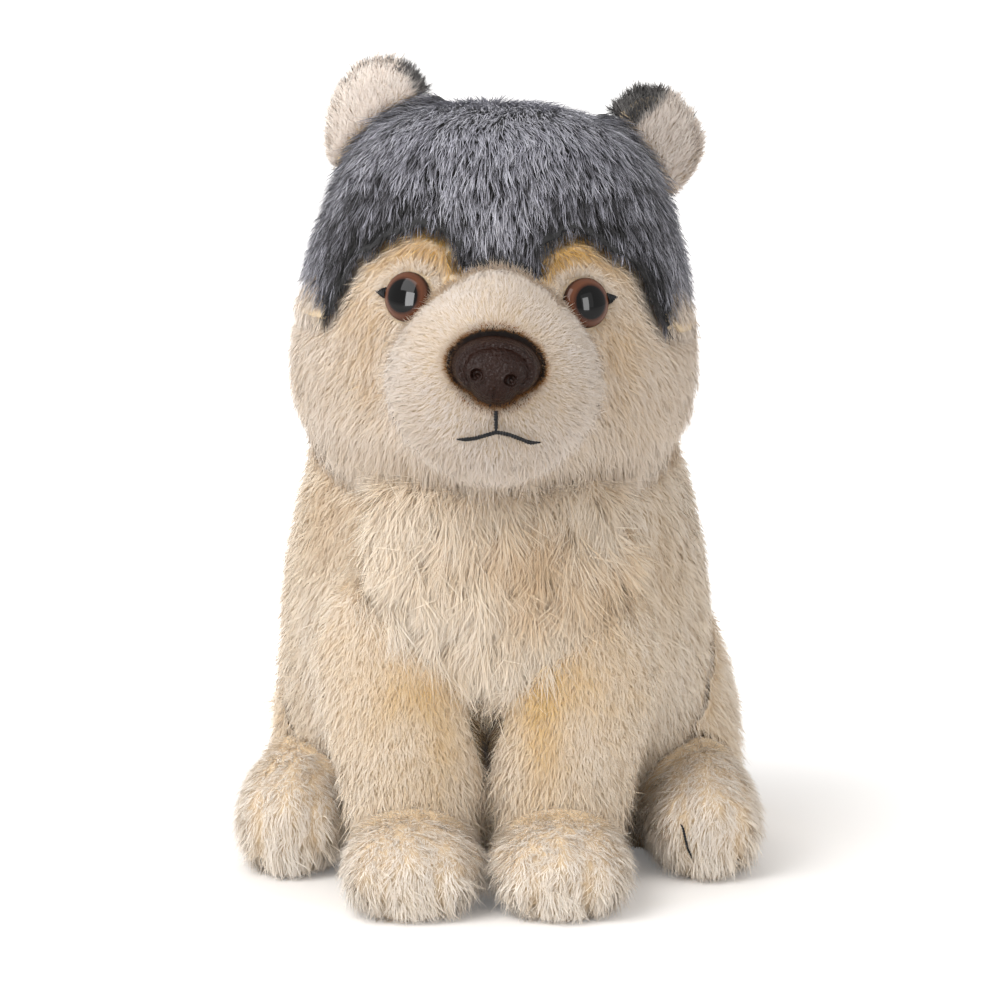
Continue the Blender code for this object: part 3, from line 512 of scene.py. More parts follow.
def crown_comb(spot, out, draw):
    """Forwards and down over the front, back and down behind, darkest along the mask.

    The pile is pale at the top and outside the temples, and dark in patches between.
    """
    x, z = upright(spot)
    forward = np.clip((0.034 - spot[:, 1]) / 0.02, -1, 1)
    heading = xyz(x * 7 + drift(spot, 0.016, 21) * 0.22, -0.55 * forward, -1)
    rise_above = above_mask(spot)
    front = np.clip(-out[:, 1] * 1.5, 0, 1)
    edge = np.exp(-np.clip(rise_above, 0, 1) / 0.017) * front
    top = np.clip((z - 0.200) / 0.015, 0, 1)
    temple = np.exp(-((np.abs(x) - 0.0425) / 0.006) ** 2) * np.clip((0.195 - z) / 0.02, 0, 1) * front
    pale = np.clip((np.abs(x) - 0.0480) / 0.003, 0, 1) * (spot[:, 1] < TEMPLE_REAR_Y)
    tone = 0.24 - 0.18 * top + 0.20 * drift(spot, 0.018, 22) * (1 - 0.7 * top) + 0.22 * temple
    tone += 0.74 * edge * (0.7 + 0.3 * np.clip(np.abs(x) / 0.016, 0, 1))
    tone *= 1 - 0.80 * pale
    keep = (rise_above > 0.0002 + 0.0012 * draw.random(len(spot))) | (spot[:, 1] > 0.004)
    keep &= ~outer_edge(spot)
    length = np.interp(rise_above, (0, 0.012), (0.0044, 0.0066))
    return dict(heading=heading, length=length, rise=0.85, lay=0.35, tone=tone, keep=keep,
                mottle=0.80 - 0.5 * top, gather=0.55, tuft=0.0015, width=0.00025, sway=0.22, uneven=0.25)


def outer_edge(places):
    """The mask's lowest 12 mm behind each temple, where cheek pile overlaps it."""
    x = np.abs(upright(places)[0])
    high = 0.0120 * np.clip((x - TEMPLE_X) / 0.004, 0, 1) + 0.0025 * drift(places, 0.004, 38)
    return (above_mask(places) < high) & (x > TEMPLE_X) & (places[:, 1] < TEMPLE_REAR_Y)


def tuft_weight(places, out):
    """Cheek pile grows on the outer face of that edge, not on its hem."""
    return outside_head(places, out) * outer_edge(places) * (out[:, 2] > -0.35)


def cheek_comb(spot, out, draw):
    """Cream pile that is brushed out and down over the mask's outer edge."""
    lie = face_comb(spot, out, draw)
    lie.update(length=0.0080, rise=0.50, lay=0.05, tone=0.12 + 0.05 * drift(spot, 0.02, 37), gather=0.2)
    return lie


crown = stuffed("head_cap", grey_backing, 0.0036, voxel=0.0025, panel=True)
# Where the cheek's pile overlaps the hem, the crown's backing is cream too.
middles = np.empty(len(crown.mesh.polygons) * 3)
crown.mesh.polygons.foreach_get("center", middles)
overlapped = outer_edge(middles.reshape(-1, 3)).astype(np.int32)
crown.mesh.materials.append(cream_backing)
crown.mesh.polygons.foreach_set("material_index", overlapped)
pile("crown_pile", crown, 58000, crown_comb, grey_pile, 14, outside_head)
pile("cheek_tufts", crown, 5000, cheek_comb, face_pile, 36, tuft_weight)


# ---- Muzzle ------------------------------------------------------------------------
# The muzzle is a round cup of short shorn plush, sewn into the face and filled firmly.
# Its pile fans out from the nose, painted dark brown round it as the shade where the moulded nose is set
# in.

# The darkest tones are painted shade round the nose.
MUZZLE_ROOTS = ("#DDD3CA", "#D3BEA2", "#8F5E2E", "#170C08")
MUZZLE_TIPS = ("#E5DCD5", "#DDCDBB", "#A9743A", "#1C0F0A")
nose_low, nose_high = (np.array(corner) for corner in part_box("nose"))
NOSE_MIDDLE = np.array([(nose_low[0] + nose_high[0]) / 2, nose_low[1], (nose_low[2] + nose_high[2]) / 2])
NOSE_HALF = np.array([nose_high[0] - nose_low[0], nose_high[2] - nose_low[2]]) / 2
NOSE_ROLL = math.radians(4)
NOSE_DEPTH = 0.016           # the muzzle's front, as deep as the nose sits in it


def nose_edge(angle):
    """The nose's outline seen from in front, as its distance from the middle each way.

    It is a wide oval with a smaller one, the lip, under it. Each distance is the root
    of the equation of a line through the middle and an ellipse above or below it.
    """
    up, across = np.sin(angle), np.cos(angle)
    reach = 0 * angle
    for half_x, half_z, middle_z in ((0.98, 0.85, 0.05), (0.53, 0.50, -0.50)):
        half_x, half_z, middle_z = half_x * NOSE_HALF[0], half_z * NOSE_HALF[1], middle_z * NOSE_HALF[1]
        square = (across / half_x) ** 2 + (up / half_z) ** 2
        single = middle_z * up / half_z ** 2
        rest = (middle_z / half_z) ** 2 - 1
        reach = np.maximum(reach, (single + np.sqrt(np.maximum(single ** 2 - square * rest, 0))) / square)
    return reach


def from_nose(spot):
    """How far outside the nose's outline each place lies, seen from in front."""
    x, z = spot[:, 0] - NOSE_MIDDLE[0], spot[:, 2] - NOSE_MIDDLE[2]
    return np.hypot(x, z) - nose_edge(np.arctan2(z, x) + NOSE_ROLL)


def muzzle_comb(spot, out, draw):
    """Away from the nose all round, short near it and painted dark there as shade, longest on the chin."""
    away = spot - NOSE_MIDDLE
    heading = unit(xyz(away[:, 0], 0, away[:, 2] * 1.1))
    heading += xyz(drift(spot, 0.012, 31), 0, drift(spot, 0.012, 32)) * 0.18
    far = from_nose(spot)
    above = np.clip((spot[:, 2] - NOSE_MIDDLE[2]) / 0.006 + 1.4, 0.4, 1)
    ahead = spot[:, 1] < NOSE_MIDDLE[1] + 0.014
    tone = 0.17 + 0.05 * drift(spot, 0.02, 33)
    # Painted shade round the set-in nose: near black at its edge, weaker below it, then brown out to about
    # 3 mm.
    tone += 0.95 * np.exp(-(np.maximum(far, 0) / 0.0010) ** 2) * ahead * above
    tone += 0.14 * np.exp(-(np.maximum(far, 0) / 0.0028) ** 2) * ahead
    length = (0.0024 + 0.0008 * np.clip(far / 0.02, 0, 1)) * (0.55 + 0.45 * np.clip(far / 0.002, 0, 1))
    chin = np.clip((0.136 - spot[:, 2]) / 0.010, 0, 1)
    outer = np.clip((far - 0.013) / 0.006, 0, 1)
    length += 0.0026 * np.maximum(chin, outer)
    heading[:, 2] -= 0.9 * chin
    return dict(heading=heading, length=length, rise=1.05 - 0.4 * outer, lay=0.65 - 0.4 * outer,
                spread=0.35, tone=tone, keep=(far > -0.0012) | ~ahead, gather=0.08 + 0.3 * chin,
                tuft=0.0016, width=0.00019, sway=0.14, uneven=0.25)


def nose_shaded_backing():
    """Knitted backing, painted near black as shade within 12 mm of a point in the nose and plain from 14 mm
    on.
    """
    material = backing_finish("knitted backing, painted shade at the nose", "#CDB89A")
    place = add(material, "ShaderNodeTexCoord")
    far = add(material, "ShaderNodeVectorMath", [(0, place.outputs["Object"])], operation="DISTANCE")
    far.inputs[1].default_value = NOSE_MIDDLE + (0, 0.006, 0)
    fading = add(material, "ShaderNodeMapRange", [("Value", far.outputs["Value"])],
                 From_Min=0.0118, From_Max=0.0140)
    colour = ramp(material, fading.outputs["Result"], ("#1C0F0A", "#8F5E2E", "#CDB89A"))
    tree = material.node_tree
    tree.links.new(colour, tree.nodes["Principled BSDF"].inputs["Base Color"])
    return material


def round_nose(places, out):
    """Outside the nose's edge, denser beside it."""
    far = from_nose(places)
    ahead = places[:, 1] < NOSE_MIDDLE[1] + NOSE_DEPTH
    return np.where(ahead, (far > -0.0016) * (1 + 5.0 * np.exp(-(far / 0.0016) ** 2)), 1.0)


def beside_nose(places):
    """How near each place is to the nose's edge: 1 at it, fading over 3 mm."""
    ahead = places[:, 1] < NOSE_MIDDLE[1] + NOSE_DEPTH
    return np.exp(-(np.maximum(from_nose(places), 0) / 0.003) ** 2) * ahead


muzzle_pile = pile_finish("shorn plush pile, pale", MUZZLE_ROOTS, MUZZLE_TIPS)
muzzle = stuffed("muzzle", nose_shaded_backing(), 0.0018, voxel=0.0018,
                 apart_from=("nose", "eye"), shallow=lambda places: 0.85 * beside_nose(places))
pile("muzzle_pile", muzzle, 43000, muzzle_comb, muzzle_pile, 15, round_nose)


# ---- Ears --------------------------------------------------------------------------
# Each ear is a cream front sewn back to back with a charcoal one and turned out, so the
# dark pile of the back stands round the rim. They are sewn into the crown's seam.

EAR_ROOTS = ("#F2E4D6", "#E2D0C1", "#6A6461", "#141313")
EAR_TIPS = ("#FBF4EC", "#EFE4DA", "#9A9692", "#2C2B2B")
EAR_DARK = {"left": (0.80, 0.60), "right": (-0.60, 0.80)}    # towards each ear's charcoal edge
EAR_BAND = {"left": 0.0024, "right": 0.0068}                 # how wide that edge shows


def drawn_in(places):
    """Draws an ear's tip in and lets its outer side out lower down, so that side is upright."""
    x, z = places[:, 0], places[:, 2]
    middle = np.median(x[z > 0.216])
    share = np.interp(z, (0.186, 0.200, 0.211, 0.221), (0.04, 0.16, 0.0, -0.20))
    outer = (x - middle) * np.sign(middle) > 0
    moved = places.copy()
    moved[:, 0] += (x - middle) * np.where(outer, share, np.minimum(share, 0))
    return moved


def ear_comb(side_name, rear):
    """Up the ear and outwards, charcoal along one edge and grey at the tip."""
    def comb(spot, out, draw):
        low, high = spot[:, 2].min(), spot[:, 2].max()
        up = (spot[:, 2] - low) / (high - low)
        heading = xyz((spot[:, 0] - spot[:, 0].mean()) * 60, 0, 0.6 + up)
        side_x, side_z = EAR_DARK[side_name]
        along = spot[:, 0] * side_x + spot[:, 2] * side_z
        dark = np.clip((along - along.max() + EAR_BAND[side_name] + 0.0015) / 0.003, 0, 1)
        dark = np.maximum(dark, rear * (out[:, 1] > 0.3))
        grey = np.clip((up - 0.86) / 0.14, 0, 1) * 0.22
        tone = 0.14 + 0.05 * drift(spot, 0.01, 41) + np.maximum(0.74 * dark, grey)
        return dict(heading=heading, length=0.0032 + 0.0010 * up, rise=0.90, lay=0.50, tone=tone,
                    gather=0.20, tuft=0.0018, width=0.00024, spread=0.30)
    return comb


ear_pile = pile_finish("plush pile, cream to charcoal", EAR_ROOTS, EAR_TIPS)
charcoal_backing = backing_finish("knitted backing, charcoal", "#1B1A1A")
for side_name, seed in (("left", 16), ("right", 18)):
    front = stuffed("ear_front_" + side_name, cream_backing, 0.0018, voxel=0.0014,
                    warp=drawn_in)
    rear = stuffed("ear_back_" + side_name, charcoal_backing, 0.0020, voxel=0.0014,
                   warp=drawn_in)
    pile("ear_front_pile_" + side_name, front, 5600, ear_comb(side_name, 0), ear_pile, seed)
    pile("ear_back_pile_" + side_name, rear, 5600, ear_comb(side_name, 1), ear_pile,
         seed + 1)


# ---- Chest ruff --------------------------------------------------------------------
# A bib of longer, softer pile under the chin. It hangs in locks, its roots are beige brown and darker than
# its tips as painted shade, and it ends in a point between the front legs.

def ruff_comb(spot, out, draw):
    """Down and sideways in locks, brown at the top and on the viewer's right."""
    side = spot[:, 0]
    heading = xyz(side * 14, -0.2, -1)
    heading += xyz(drift(spot, 0.022, 51), 0, drift(spot, 0.022, 52)) * 0.35
    tone = 0.30 + 0.12 * drift(spot, 0.016, 53) + 0.30 * near(spot, 0.012, 0.094, 0.020, 0.016)
    tone += 0.12 * near(spot, 0.030, 0.080, 0.012, 0.022)
    length = 0.0100 + 0.003 * drift(spot, 0.008, 54)
    return dict(heading=heading, length=length, rise=0.78, lay=0.20, tone=tone, gather=0.45,
                tuft=0.0036, width=0.00024, sway=0.45, spread=0.25, uneven=0.30)


ruff = stuffed("chest_ruff", cream_backing, 0.0036, voxel=0.0022)
pile("ruff_pile", ruff, 27000, ruff_comb, cream_pile, 20)


# ---- Front legs and paws -----------------------------------------------------------
# Two straight sausages of smooth plush, sprayed gold at the top, end in softer, paler
# paws. Two pulled stitches in each paw part its pile into three toes.

# The darkest tone is painted shade in the gap between the legs.
LEG_ROOTS = ("#F3E6D3", "#EBD3AF", "#E2BA74", "#2A180B")
LEG_TIPS = ("#FBF3E9", "#F7E8D3", "#EFCF96", "#3A2412")
PAW_X = {"left": -0.02335, "right": 0.01815}
GAP_X = -0.0026              # the middle of the gap between the legs
TOE_OFFSET = 0.00735
FLUFF_ROOTS = ("#F5EADB", "#EEDCC2", "#D2AE7C", "#6B5130")
FLUFF_TIPS = ("#FCF5EC", "#F9EEDF", "#EED6B0", "#B8946A")


def leg_comb(sign):
    """Down the leg, gold on its upper front, and painted nearly black as shade in the gap between the legs.
    """
    def comb(spot, out, draw):
        heading = xyz(out[:, 0] * 0.25 + drift(spot, 0.02, 61) * 0.12, -0.1, -1)
        gold = 0.26 * near(spot, sign * 0.022 - 0.002, 0.060, 0.016, 0.012)
        gold += (0.30 if sign > 0 else 0.18) * near(spot, sign * 0.014 - 0.001, 0.048, 0.006, 0.022)
        tone = 0.20 + 0.04 * (sign > 0) + 0.07 * drift(spot, 0.02, 62)
        tone += gold * np.clip(-out[:, 1] + 0.2, 0, 1)
        # Painted shade: the pile in the gap between the legs is made nearly black.
        gap = np.abs(spot[:, 0] - GAP_X) < 0.0056 * np.clip((spot[:, 2] - 0.028) / 0.020, 0.18, 1)
        gap &= spot[:, 2] > 0.012
        tone = np.where(gap, 0.97, tone)
        low = np.clip((0.034 - spot[:, 2]) / 0.012, 0, 1) * ~gap
        return dict(heading=heading, length=0.0042 + 0.0065 * low, rise=1.0 - 0.5 * low,
                    lay=0.45 - 0.3 * low, tone=tone, spread=0.35, gather=0.08, tuft=0.0020,
                    width=0.00020, sway=0.12, uneven=0.28)
    return comb


def paw_comb(toe_middle, forward):
    """Forwards over the toes and down, parted along the two toe lines."""
    def comb(spot, out, draw):
        heading = xyz(out[:, 0] * 0.35, -forward - 0.5 * out[:, 2].clip(0, 1), -1)
        heading += xyz(drift(spot, 0.012, 71), 0, drift(spot, 0.012, 72)) * 0.35
        ahead = np.clip(-out[:, 1] * 1.5, 0, 1) * np.clip(spot[:, 2] / 0.006, 0, 1)
        # Painted light: the pile is paler where it faces up.
        tone = 0.12 + 0.06 * drift(spot, 0.012, 73) - 0.08 * out[:, 2].clip(0, 1)
        length = 0.0044 + 0.0020 * np.clip((0.018 - spot[:, 2]) / 0.01, 0, 1)
        for line in (toe_middle - TOE_OFFSET, toe_middle + TOE_OFFSET):
            off = spot[:, 0] - line
            close = np.exp(-(off / 0.0014) ** 2) * ahead
            heading[:, 0] += np.sign(off) * close * 0.45
            # Painted shade: the pile is darker along each toe line, in the cleft.
            tone = tone + 0.30 * close
            length = length * (1 - 0.40 * close)
        return dict(heading=heading, length=length, rise=0.90, lay=0.45, tone=tone, gather=0.22,
                    tuft=0.0034, width=0.00021, sway=0.45, uneven=0.30, spread=0.25)
    return comb


leg_pile = pile_finish("smooth plush pile, gold sprayed", LEG_ROOTS, LEG_TIPS)
fluff_pile = pile_finish("fluffy plush pile, pale", FLUFF_ROOTS, FLUFF_TIPS)
for side_name, sign, seed in (("left", -1, 21), ("right", 1, 23)):
    leg = stuffed("front_leg_" + side_name, cream_backing, 0.0022, voxel=0.0020)
    paw = stuffed("front_paw_" + side_name, cream_backing, 0.0028, voxel=0.0015)
    pile("front_leg_pile_" + side_name, leg, 20500, leg_comb(sign), leg_pile, seed)
    pile("front_paw_pile_" + side_name, paw, 13500, paw_comb(PAW_X[side_name], 0.35),
         fluff_pile, seed + 1, unseen_below)


# ---- Haunches and hind feet --------------------------------------------------------
# The folded hind legs are pads sewn to the sides of the body, and the hind feet stick
# out forwards from under them, in the same soft pale plush as the front paws.

FOOT_X = {"left": -0.0595, "right": 0.0610}


def haunch_comb(spot, out, draw):
    """Down and a little back over the folded leg."""
    tone = 0.34 + 0.10 * drift(spot, 0.03, 81)
    return dict(heading=xyz(0 * tone, 0.15, -1), length=0.0056, rise=1.0, lay=0.45, tone=tone,
                gather=0.12, width=0.00021, spread=0.35, uneven=0.28)


for side_name, seed in (("left", 31), ("right", 33)):
    haunch = stuffed("haunch_" + side_name, cream_backing, 0.0028, voxel=0.0020)
    foot = stuffed("hind_foot_" + side_name, cream_backing, 0.0028, voxel=0.0018)
    pile("haunch_pile_" + side_name, haunch, 11500, haunch_comb, cream_pile, seed,
         unseen_below)
    pile("hind_foot_pile_" + side_name, foot, 15500, paw_comb(FOOT_X[side_name], 0.25),
         fluff_pile, seed + 1, unseen_below)


# ---- Tail --------------------------------------------------------------------------
# A loose sausage of the grey plush, sewn to the rump and curled round to one side.

def tail_comb(spot, out, draw):
    """Along the tail, away from the rump."""
    heading = xyz(0.35 + 20 * spot[:, 0].clip(0, 0.1), 1 - 22 * spot[:, 0].clip(0, 0.04), 0)
    return dict(heading=heading, length=0.011, rise=0.75, lay=0.2, tone=0.40 + 0.2 * drift(spot, 0.02, 91),
                gather=0.55, tuft=0.0035, width=0.00042, sway=0.35)


tail = stuffed("tail", grey_backing, 0.0030, voxel=0.0024)
pile("tail_pile", tail, 7000, tail_comb, grey_pile, 35, unseen_below)


# ---- Eyes --------------------------------------------------------------------------
# Each eye is one acrylic moulding: a polished dome with a rolled rim, printed with a
# black pupil in a brown ring. Its ribbed shank goes through the fabric into a washer.

def grid_mesh(name, points):
    """A skin of quads over a grid of points, joined round in its second direction."""
    rows, columns = points.shape[:2]
    here = np.arange(rows * columns).reshape(rows, columns)
    beside = np.roll(here, -1, 1)
    quads = np.stack([here[:-1], beside[:-1], beside[1:], here[1:]], -1).reshape(-1, 4)
    mesh = bpy.data.meshes.new(name)
    mesh.from_pydata(points.reshape(-1, 3), [], quads.tolist())
    return mesh


def closed_ends(mesh):
    """Joins the doubled points at the poles, fills what is open and turns faces outwards."""
    shape = bmesh.new()
    shape.from_mesh(mesh)
    bmesh.ops.remove_doubles(shape, verts=shape.verts, dist=0.00001)
    bmesh.ops.holes_fill(shape, edges=[edge for edge in shape.edges if edge.is_boundary])
    bmesh.ops.recalc_face_normals(shape, faces=shape.faces)
    shape.to_mesh(mesh)
    shape.free()
    mesh.shade_smooth()
    return mesh


def moulded_eye(side_name, material):
    """A dome of revolution about the eye's own axis, from its pole back to its shank.

    Its profile is a quarter ellipse down to the rim, a half round rim, a flat back and
    a straight shank with a pointed end.
    """
    middle, looks = EYES[side_name]
    turn = np.linspace(0, math.pi / 2, 24)
    profile = [(EYE_RIM + math.cos(a) * (EYE_DOME - EYE_RIM), math.sin(a) * EYE_RADIUS) for a in turn]
    profile += [(EYE_RIM * 0.5, EYE_RADIUS), (0.0001, EYE_RADIUS * 0.965), (0.0, EYE_RADIUS * 0.92),
                (0.0, 0.0020), (-0.0004, 0.0018), (-0.0105, 0.0018), (-0.0118, 0.0008), (-0.0118, 0.0)]
    profile = np.array(profile)
    across = unit(np.cross(looks, (0.0, 0.0, 1.0))[None])[0]
    other = np.cross(across, looks)
    around = np.linspace(0, 2 * math.pi, 56, endpoint=False)
    circle = np.cos(around)[:, None] * across + np.sin(around)[:, None] * other
    points = middle + profile[:, 0, None, None] * looks + profile[:, 1, None, None] * circle[None]
    mesh = closed_ends(grid_mesh("eye", points))
    return new_piece("moulded_eye_" + side_name, mesh, material)


def eye_finish(side_name):
    """Polished acrylic over print: a hard clear gloss, black inside, chestnut round it."""
    material, shader = finish("polished acrylic eye, " + side_name, Roughness=0.05, IOR=1.49,
                              Specular_IOR_Level=0.2)
    middle, looks = EYES[side_name]
    place = add(material, "ShaderNodeTexCoord")
    apart = add(material, "ShaderNodeVectorMath", [(0, place.outputs["Object"])], operation="SUBTRACT")
    apart.inputs[1].default_value = middle
    away = add(material, "ShaderNodeVectorMath", [(0, apart.outputs["Vector"])], operation="CROSS_PRODUCT")
    away.inputs[1].default_value = looks
    far = add(material, "ShaderNodeVectorMath", [(0, away.outputs["Vector"])], operation="LENGTH")
    share = add(material, "ShaderNodeMath", [(0, far.outputs["Value"])], operation="DIVIDE")
    share.inputs[1].default_value = EYE_RADIUS
    colour = ramp(material, share.outputs["Value"],
                  ("#040303", "#040303", "#432518", "#653C28", "#5C3725", "#2E1A11"),
                  (0.0, 0.64, 0.69, 0.80, 0.93, 1.0))
    material.node_tree.links.new(colour, shader.inputs["Base Color"])
    return material


for side_name in EYES:
    eye = moulded_eye(side_name, eye_finish(side_name))
    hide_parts("eye_" + side_name)


# ---- Washers -----------------------------------------------------------------------
# Natural nylon lock washers grip the shanks behind the fabric. They stay as packed.

def nylon_finish():
    """Moulded nylon: milky and half matt, with a faint flow of the melt."""
    material, shader = finish("moulded nylon", Roughness=0.5, IOR=1.53)
    place = add(material, "ShaderNodeTexCoord")
    flow = add(material, "ShaderNodeTexNoise", [("Vector", place.outputs["Object"])], Scale=400.0)
    material.node_tree.links.new(ramp(material, flow.outputs["Fac"], ("#D8D5CB", "#EDEBE4")),
                                 shader.inputs["Base Color"])
    return material


nylon = nylon_finish()
for node in ("eye_washer_left", "eye_washer_right", "nose_washer"):
    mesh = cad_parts[node].data
    mesh.materials.clear()
    mesh.materials.append(nylon)


# ---- Nose --------------------------------------------------------------------------
# A soft-edged triangle moulded in matt brown plastic: a smooth rolled rim, a pad with
# leather grain, two ringed nostrils with a bead in each, and a groove to the lip.

NOSTRILS = ((-0.0050, -0.0010), (0.0041, -0.0018))    # from the middle of the nose
NOSTRIL_RADIUS = 0.0019
NOSE_BULGE = 0.0074


def nose_skin():
    """Rings of the outline shrunk to the middle, bulging forwards as a dome.

    The height is a dome, plus a rounded band for the rim, minus a gutter inside it and
    a crease round the lip, minus each nostril's bowl, plus its ring and its bead.
    """
    share = np.linspace(0, 1, 60)[:, None] ** 0.9
    angle = np.linspace(0, 2 * math.pi, 144, endpoint=False)[None, :]
    x = np.cos(angle) * nose_edge(angle) * share
    z = np.sin(angle) * nose_edge(angle) * share
    height = NOSE_BULGE * (1 - share ** 2.6) ** 0.62 + 0 * x
    lip = np.hypot(x / (0.53 * NOSE_HALF[0]), (z + 0.50 * NOSE_HALF[1]) / (0.50 * NOSE_HALF[1]))
    low = np.clip(-z / NOSE_HALF[1] - 0.25, 0, 0.2) * 5
    rim = 1 - low * np.clip((1.25 - lip) / 0.2, 0, 1)
    height += 0.00050 * np.exp(-((share - 0.88) / 0.06) ** 2) * rim
    height -= 0.00070 * np.exp(-((share - 0.74) / 0.06) ** 2) * rim
    height -= 0.00045 * np.exp(-((lip - 1) / 0.07) ** 2) * low
    for side_x, side_z in NOSTRILS:
        far = np.hypot(x - side_x, z - side_z)
        height -= 0.0019 * np.exp(-(far / (NOSTRIL_RADIUS * 0.80)) ** 4)
        height += 0.00030 * np.exp(-((far - NOSTRIL_RADIUS) / 0.00030) ** 2)
        height += 0.0015 * np.exp(-(np.hypot(x - side_x - 0.0003, z - side_z + 0.0004) / 0.0008) ** 2)
    height -= 0.0007 * np.exp(-(x / 0.0004) ** 2) * np.clip((-z - 0.0040) / 0.001, 0, 1)
    points = np.stack([x * math.cos(NOSE_ROLL) + z * math.sin(NOSE_ROLL), -height,
                       z * math.cos(NOSE_ROLL) - x * math.sin(NOSE_ROLL)], -1)
    back = points[-1:] * (0.97, 1, 0.97) + (0, 0.0030, 0)
    points = np.concatenate([points, points[-1:] + (0, 0.0010, 0), back])
    return points + (NOSE_MIDDLE[0], nose_low[1] + NOSE_BULGE, NOSE_MIDDLE[2])


def nose_finish():
    """Moulded PVC, satin, with leather grain cells about 0.9 mm across on its pad."""
    material, shader = finish("moulded PVC nose", Roughness=0.20, IOR=1.53, Specular_IOR_Level=0.10)
    place = add(material, "ShaderNodeTexCoord")
    cells = add(material, "ShaderNodeTexVoronoi", [("Vector", place.outputs["Object"])],
                feature="SMOOTH_F1", Scale=1100.0)
    fine = add(material, "ShaderNodeTexNoise", [("Vector", place.outputs["Object"])], Scale=1800.0)
    both = add(material, "ShaderNodeMath", [(0, cells.outputs["Distance"]), (1, fine.outputs["Fac"])],
               operation="ADD")
    bump = add(material, "ShaderNodeBump", [("Height", both.outputs["Value"])],
               Strength=1.0, Distance=0.0004)
    mottle = add(material, "ShaderNodeTexNoise", [("Vector", place.outputs["Object"])], Scale=220.0)
    tree = material.node_tree
    tree.links.new(bump.outputs["Normal"], shader.inputs["Normal"])
    colour = ramp(material, mottle.outputs["Fac"], ("#1C0D07", "#2B140A"))
    tree.links.new(colour, shader.inputs["Base Color"])
    return material


nose = new_piece("moulded_nose", closed_ends(grid_mesh("nose", nose_skin())), nose_finish())
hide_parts("nose")


# ---- Stitches ----------------------------------------------------------------------
# Black two-ply embroidery thread draws the mouth, the outer corner of each eye and the
# toes. It is pulled down into the pile, so the ends sink out of sight.

PLY_PITCH = 0.0016           # one turn of the two plies round each other
THREAD_WIDTH = 0.0013
WEDGE = ((0.0062, 0.0016), (0.0082, 0.0012), (0.0108, 0.0008))    # out from the eye, and up
HIDDEN = (0, 0.0080, -0.0045)    # how far a toe thread is pulled into the pile and the foot


def path_of(node):
    """The middle line of a stitched tube: its points gathered in steps along its length."""
    points = np.array([v.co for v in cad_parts[node].data.vertices])
    along = (points - points.mean(0)) @ np.linalg.eigh(np.cov(points.T))[1][:, 2]
    steps = np.round((along - along.min()) / 0.0011)
    line = np.array([points[steps == step].mean(0) for step in np.unique(steps)])
    return line if line[0, 2] > line[-1, 2] else line[::-1]


def even_line(points, step):
    """A line through the points, eased and cut into even short steps."""
    far = np.concatenate([[0], np.cumsum(np.linalg.norm(np.diff(points, axis=0), axis=1))])
    ask = np.arange(0, far[-1], step)
    line = np.stack([np.interp(ask, far, points[:, k]) for k in range(3)], 1)
    for _ in range(12):
        line[1:-1] = (line[:-2] + 2 * line[1:-1] + line[2:]) / 4
    return line


def twisted(name, lines, radius, material, ends=(0.5, 0.3), full=(0.15, 0.8), step=0.00024):
    """Two plies that wind round each line, each a tube that is thinner outside its full part."""
    made = []
    for points in lines:
        line = even_line(points, step)
        heading = unit(np.gradient(line, axis=0))
        across = unit(np.cross(heading, (0.0, 1.0, 0.0)))
        other = np.cross(heading, across)
        share = np.linspace(0, 1, len(line))
        swell = np.interp(share, (0, *full, 1), (ends[0], 1, 1, ends[1])) * radius
        wind = 2 * math.pi * share * len(line) * step / PLY_PITCH
        angle = np.linspace(0, 2 * math.pi, 8, endpoint=False)
        for phase in (0, math.pi):
            spin = wind + phase
            beside = across * np.cos(spin)[:, None] + other * np.sin(spin)[:, None]
            middle = line + beside * swell[:, None] * 0.45
            circle = (across[:, None] * np.cos(angle)[None, :, None]
                      + other[:, None] * np.sin(angle)[None, :, None]) * swell[:, None, None] * 0.62
            made.append(grid_mesh(name, middle[:, None] + circle))
    shape = bmesh.new()
    for mesh in made:
        shape.from_mesh(mesh)
    mesh = bpy.data.meshes.new(name)
    shape.to_mesh(mesh)
    shape.free()
    return new_piece(name, closed_ends(mesh), material)


def thread_finish():
    """Stranded embroidery cotton: near black, with a soft silky sheen along its plies."""
    material, shader = finish("stranded embroidery thread", Roughness=0.55, Specular_IOR_Level=0.25)
    place = add(material, "ShaderNodeTexCoord")
    fibres = add(material, "ShaderNodeTexNoise", [("Vector", place.outputs["Object"])], Scale=4000.0)
    material.node_tree.links.new(ramp(material, fibres.outputs["Fac"], ("#08090A", "#15171A")),
                                 shader.inputs["Base Color"])
    return material


def mouth_lines():
    """The stem under the nose, and from its fork the two halves of the lip, which sag.

    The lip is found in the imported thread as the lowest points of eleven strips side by
    side, and its highest point is the fork.
    """
    points = np.array([v.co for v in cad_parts["mouth_stitch"].data.vertices])
    strips = np.linspace(points[:, 0].min(), points[:, 0].max(), 12)
    lip = []
    for low, high in zip(strips[:-1], strips[1:]):
        here = points[(points[:, 0] >= low) & (points[:, 0] <= high)]
        lip.append(here[here[:, 2] < here[:, 2].min() + THREAD_WIDTH].mean(0))
    lip = np.array(lip)
    fork = lip[np.argmax(lip[:, 2])]
    lines = []
    for end, sag in ((0, (0, 0.0003, 0.0006, 0.0005, 0)), (-1, (0, -0.0002, 0.0002, 0.0008, 0))):
        line = np.linspace(fork, lip[end], len(sag))
        line[:, 1] = np.interp(line[:, 0], lip[:, 0], lip[:, 1]) - 0.0002
        line[:, 2] -= sag
        lines.append(line)
    return lines + [np.linspace(points[np.argmax(points[:, 2])] - (0, 0, 0.0003), fork, 5)]


black = thread_finish()
mouth = twisted("mouth_thread", mouth_lines(), 0.00062, black, ends=(1.0, 0.35))
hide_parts("mouth_stitch")

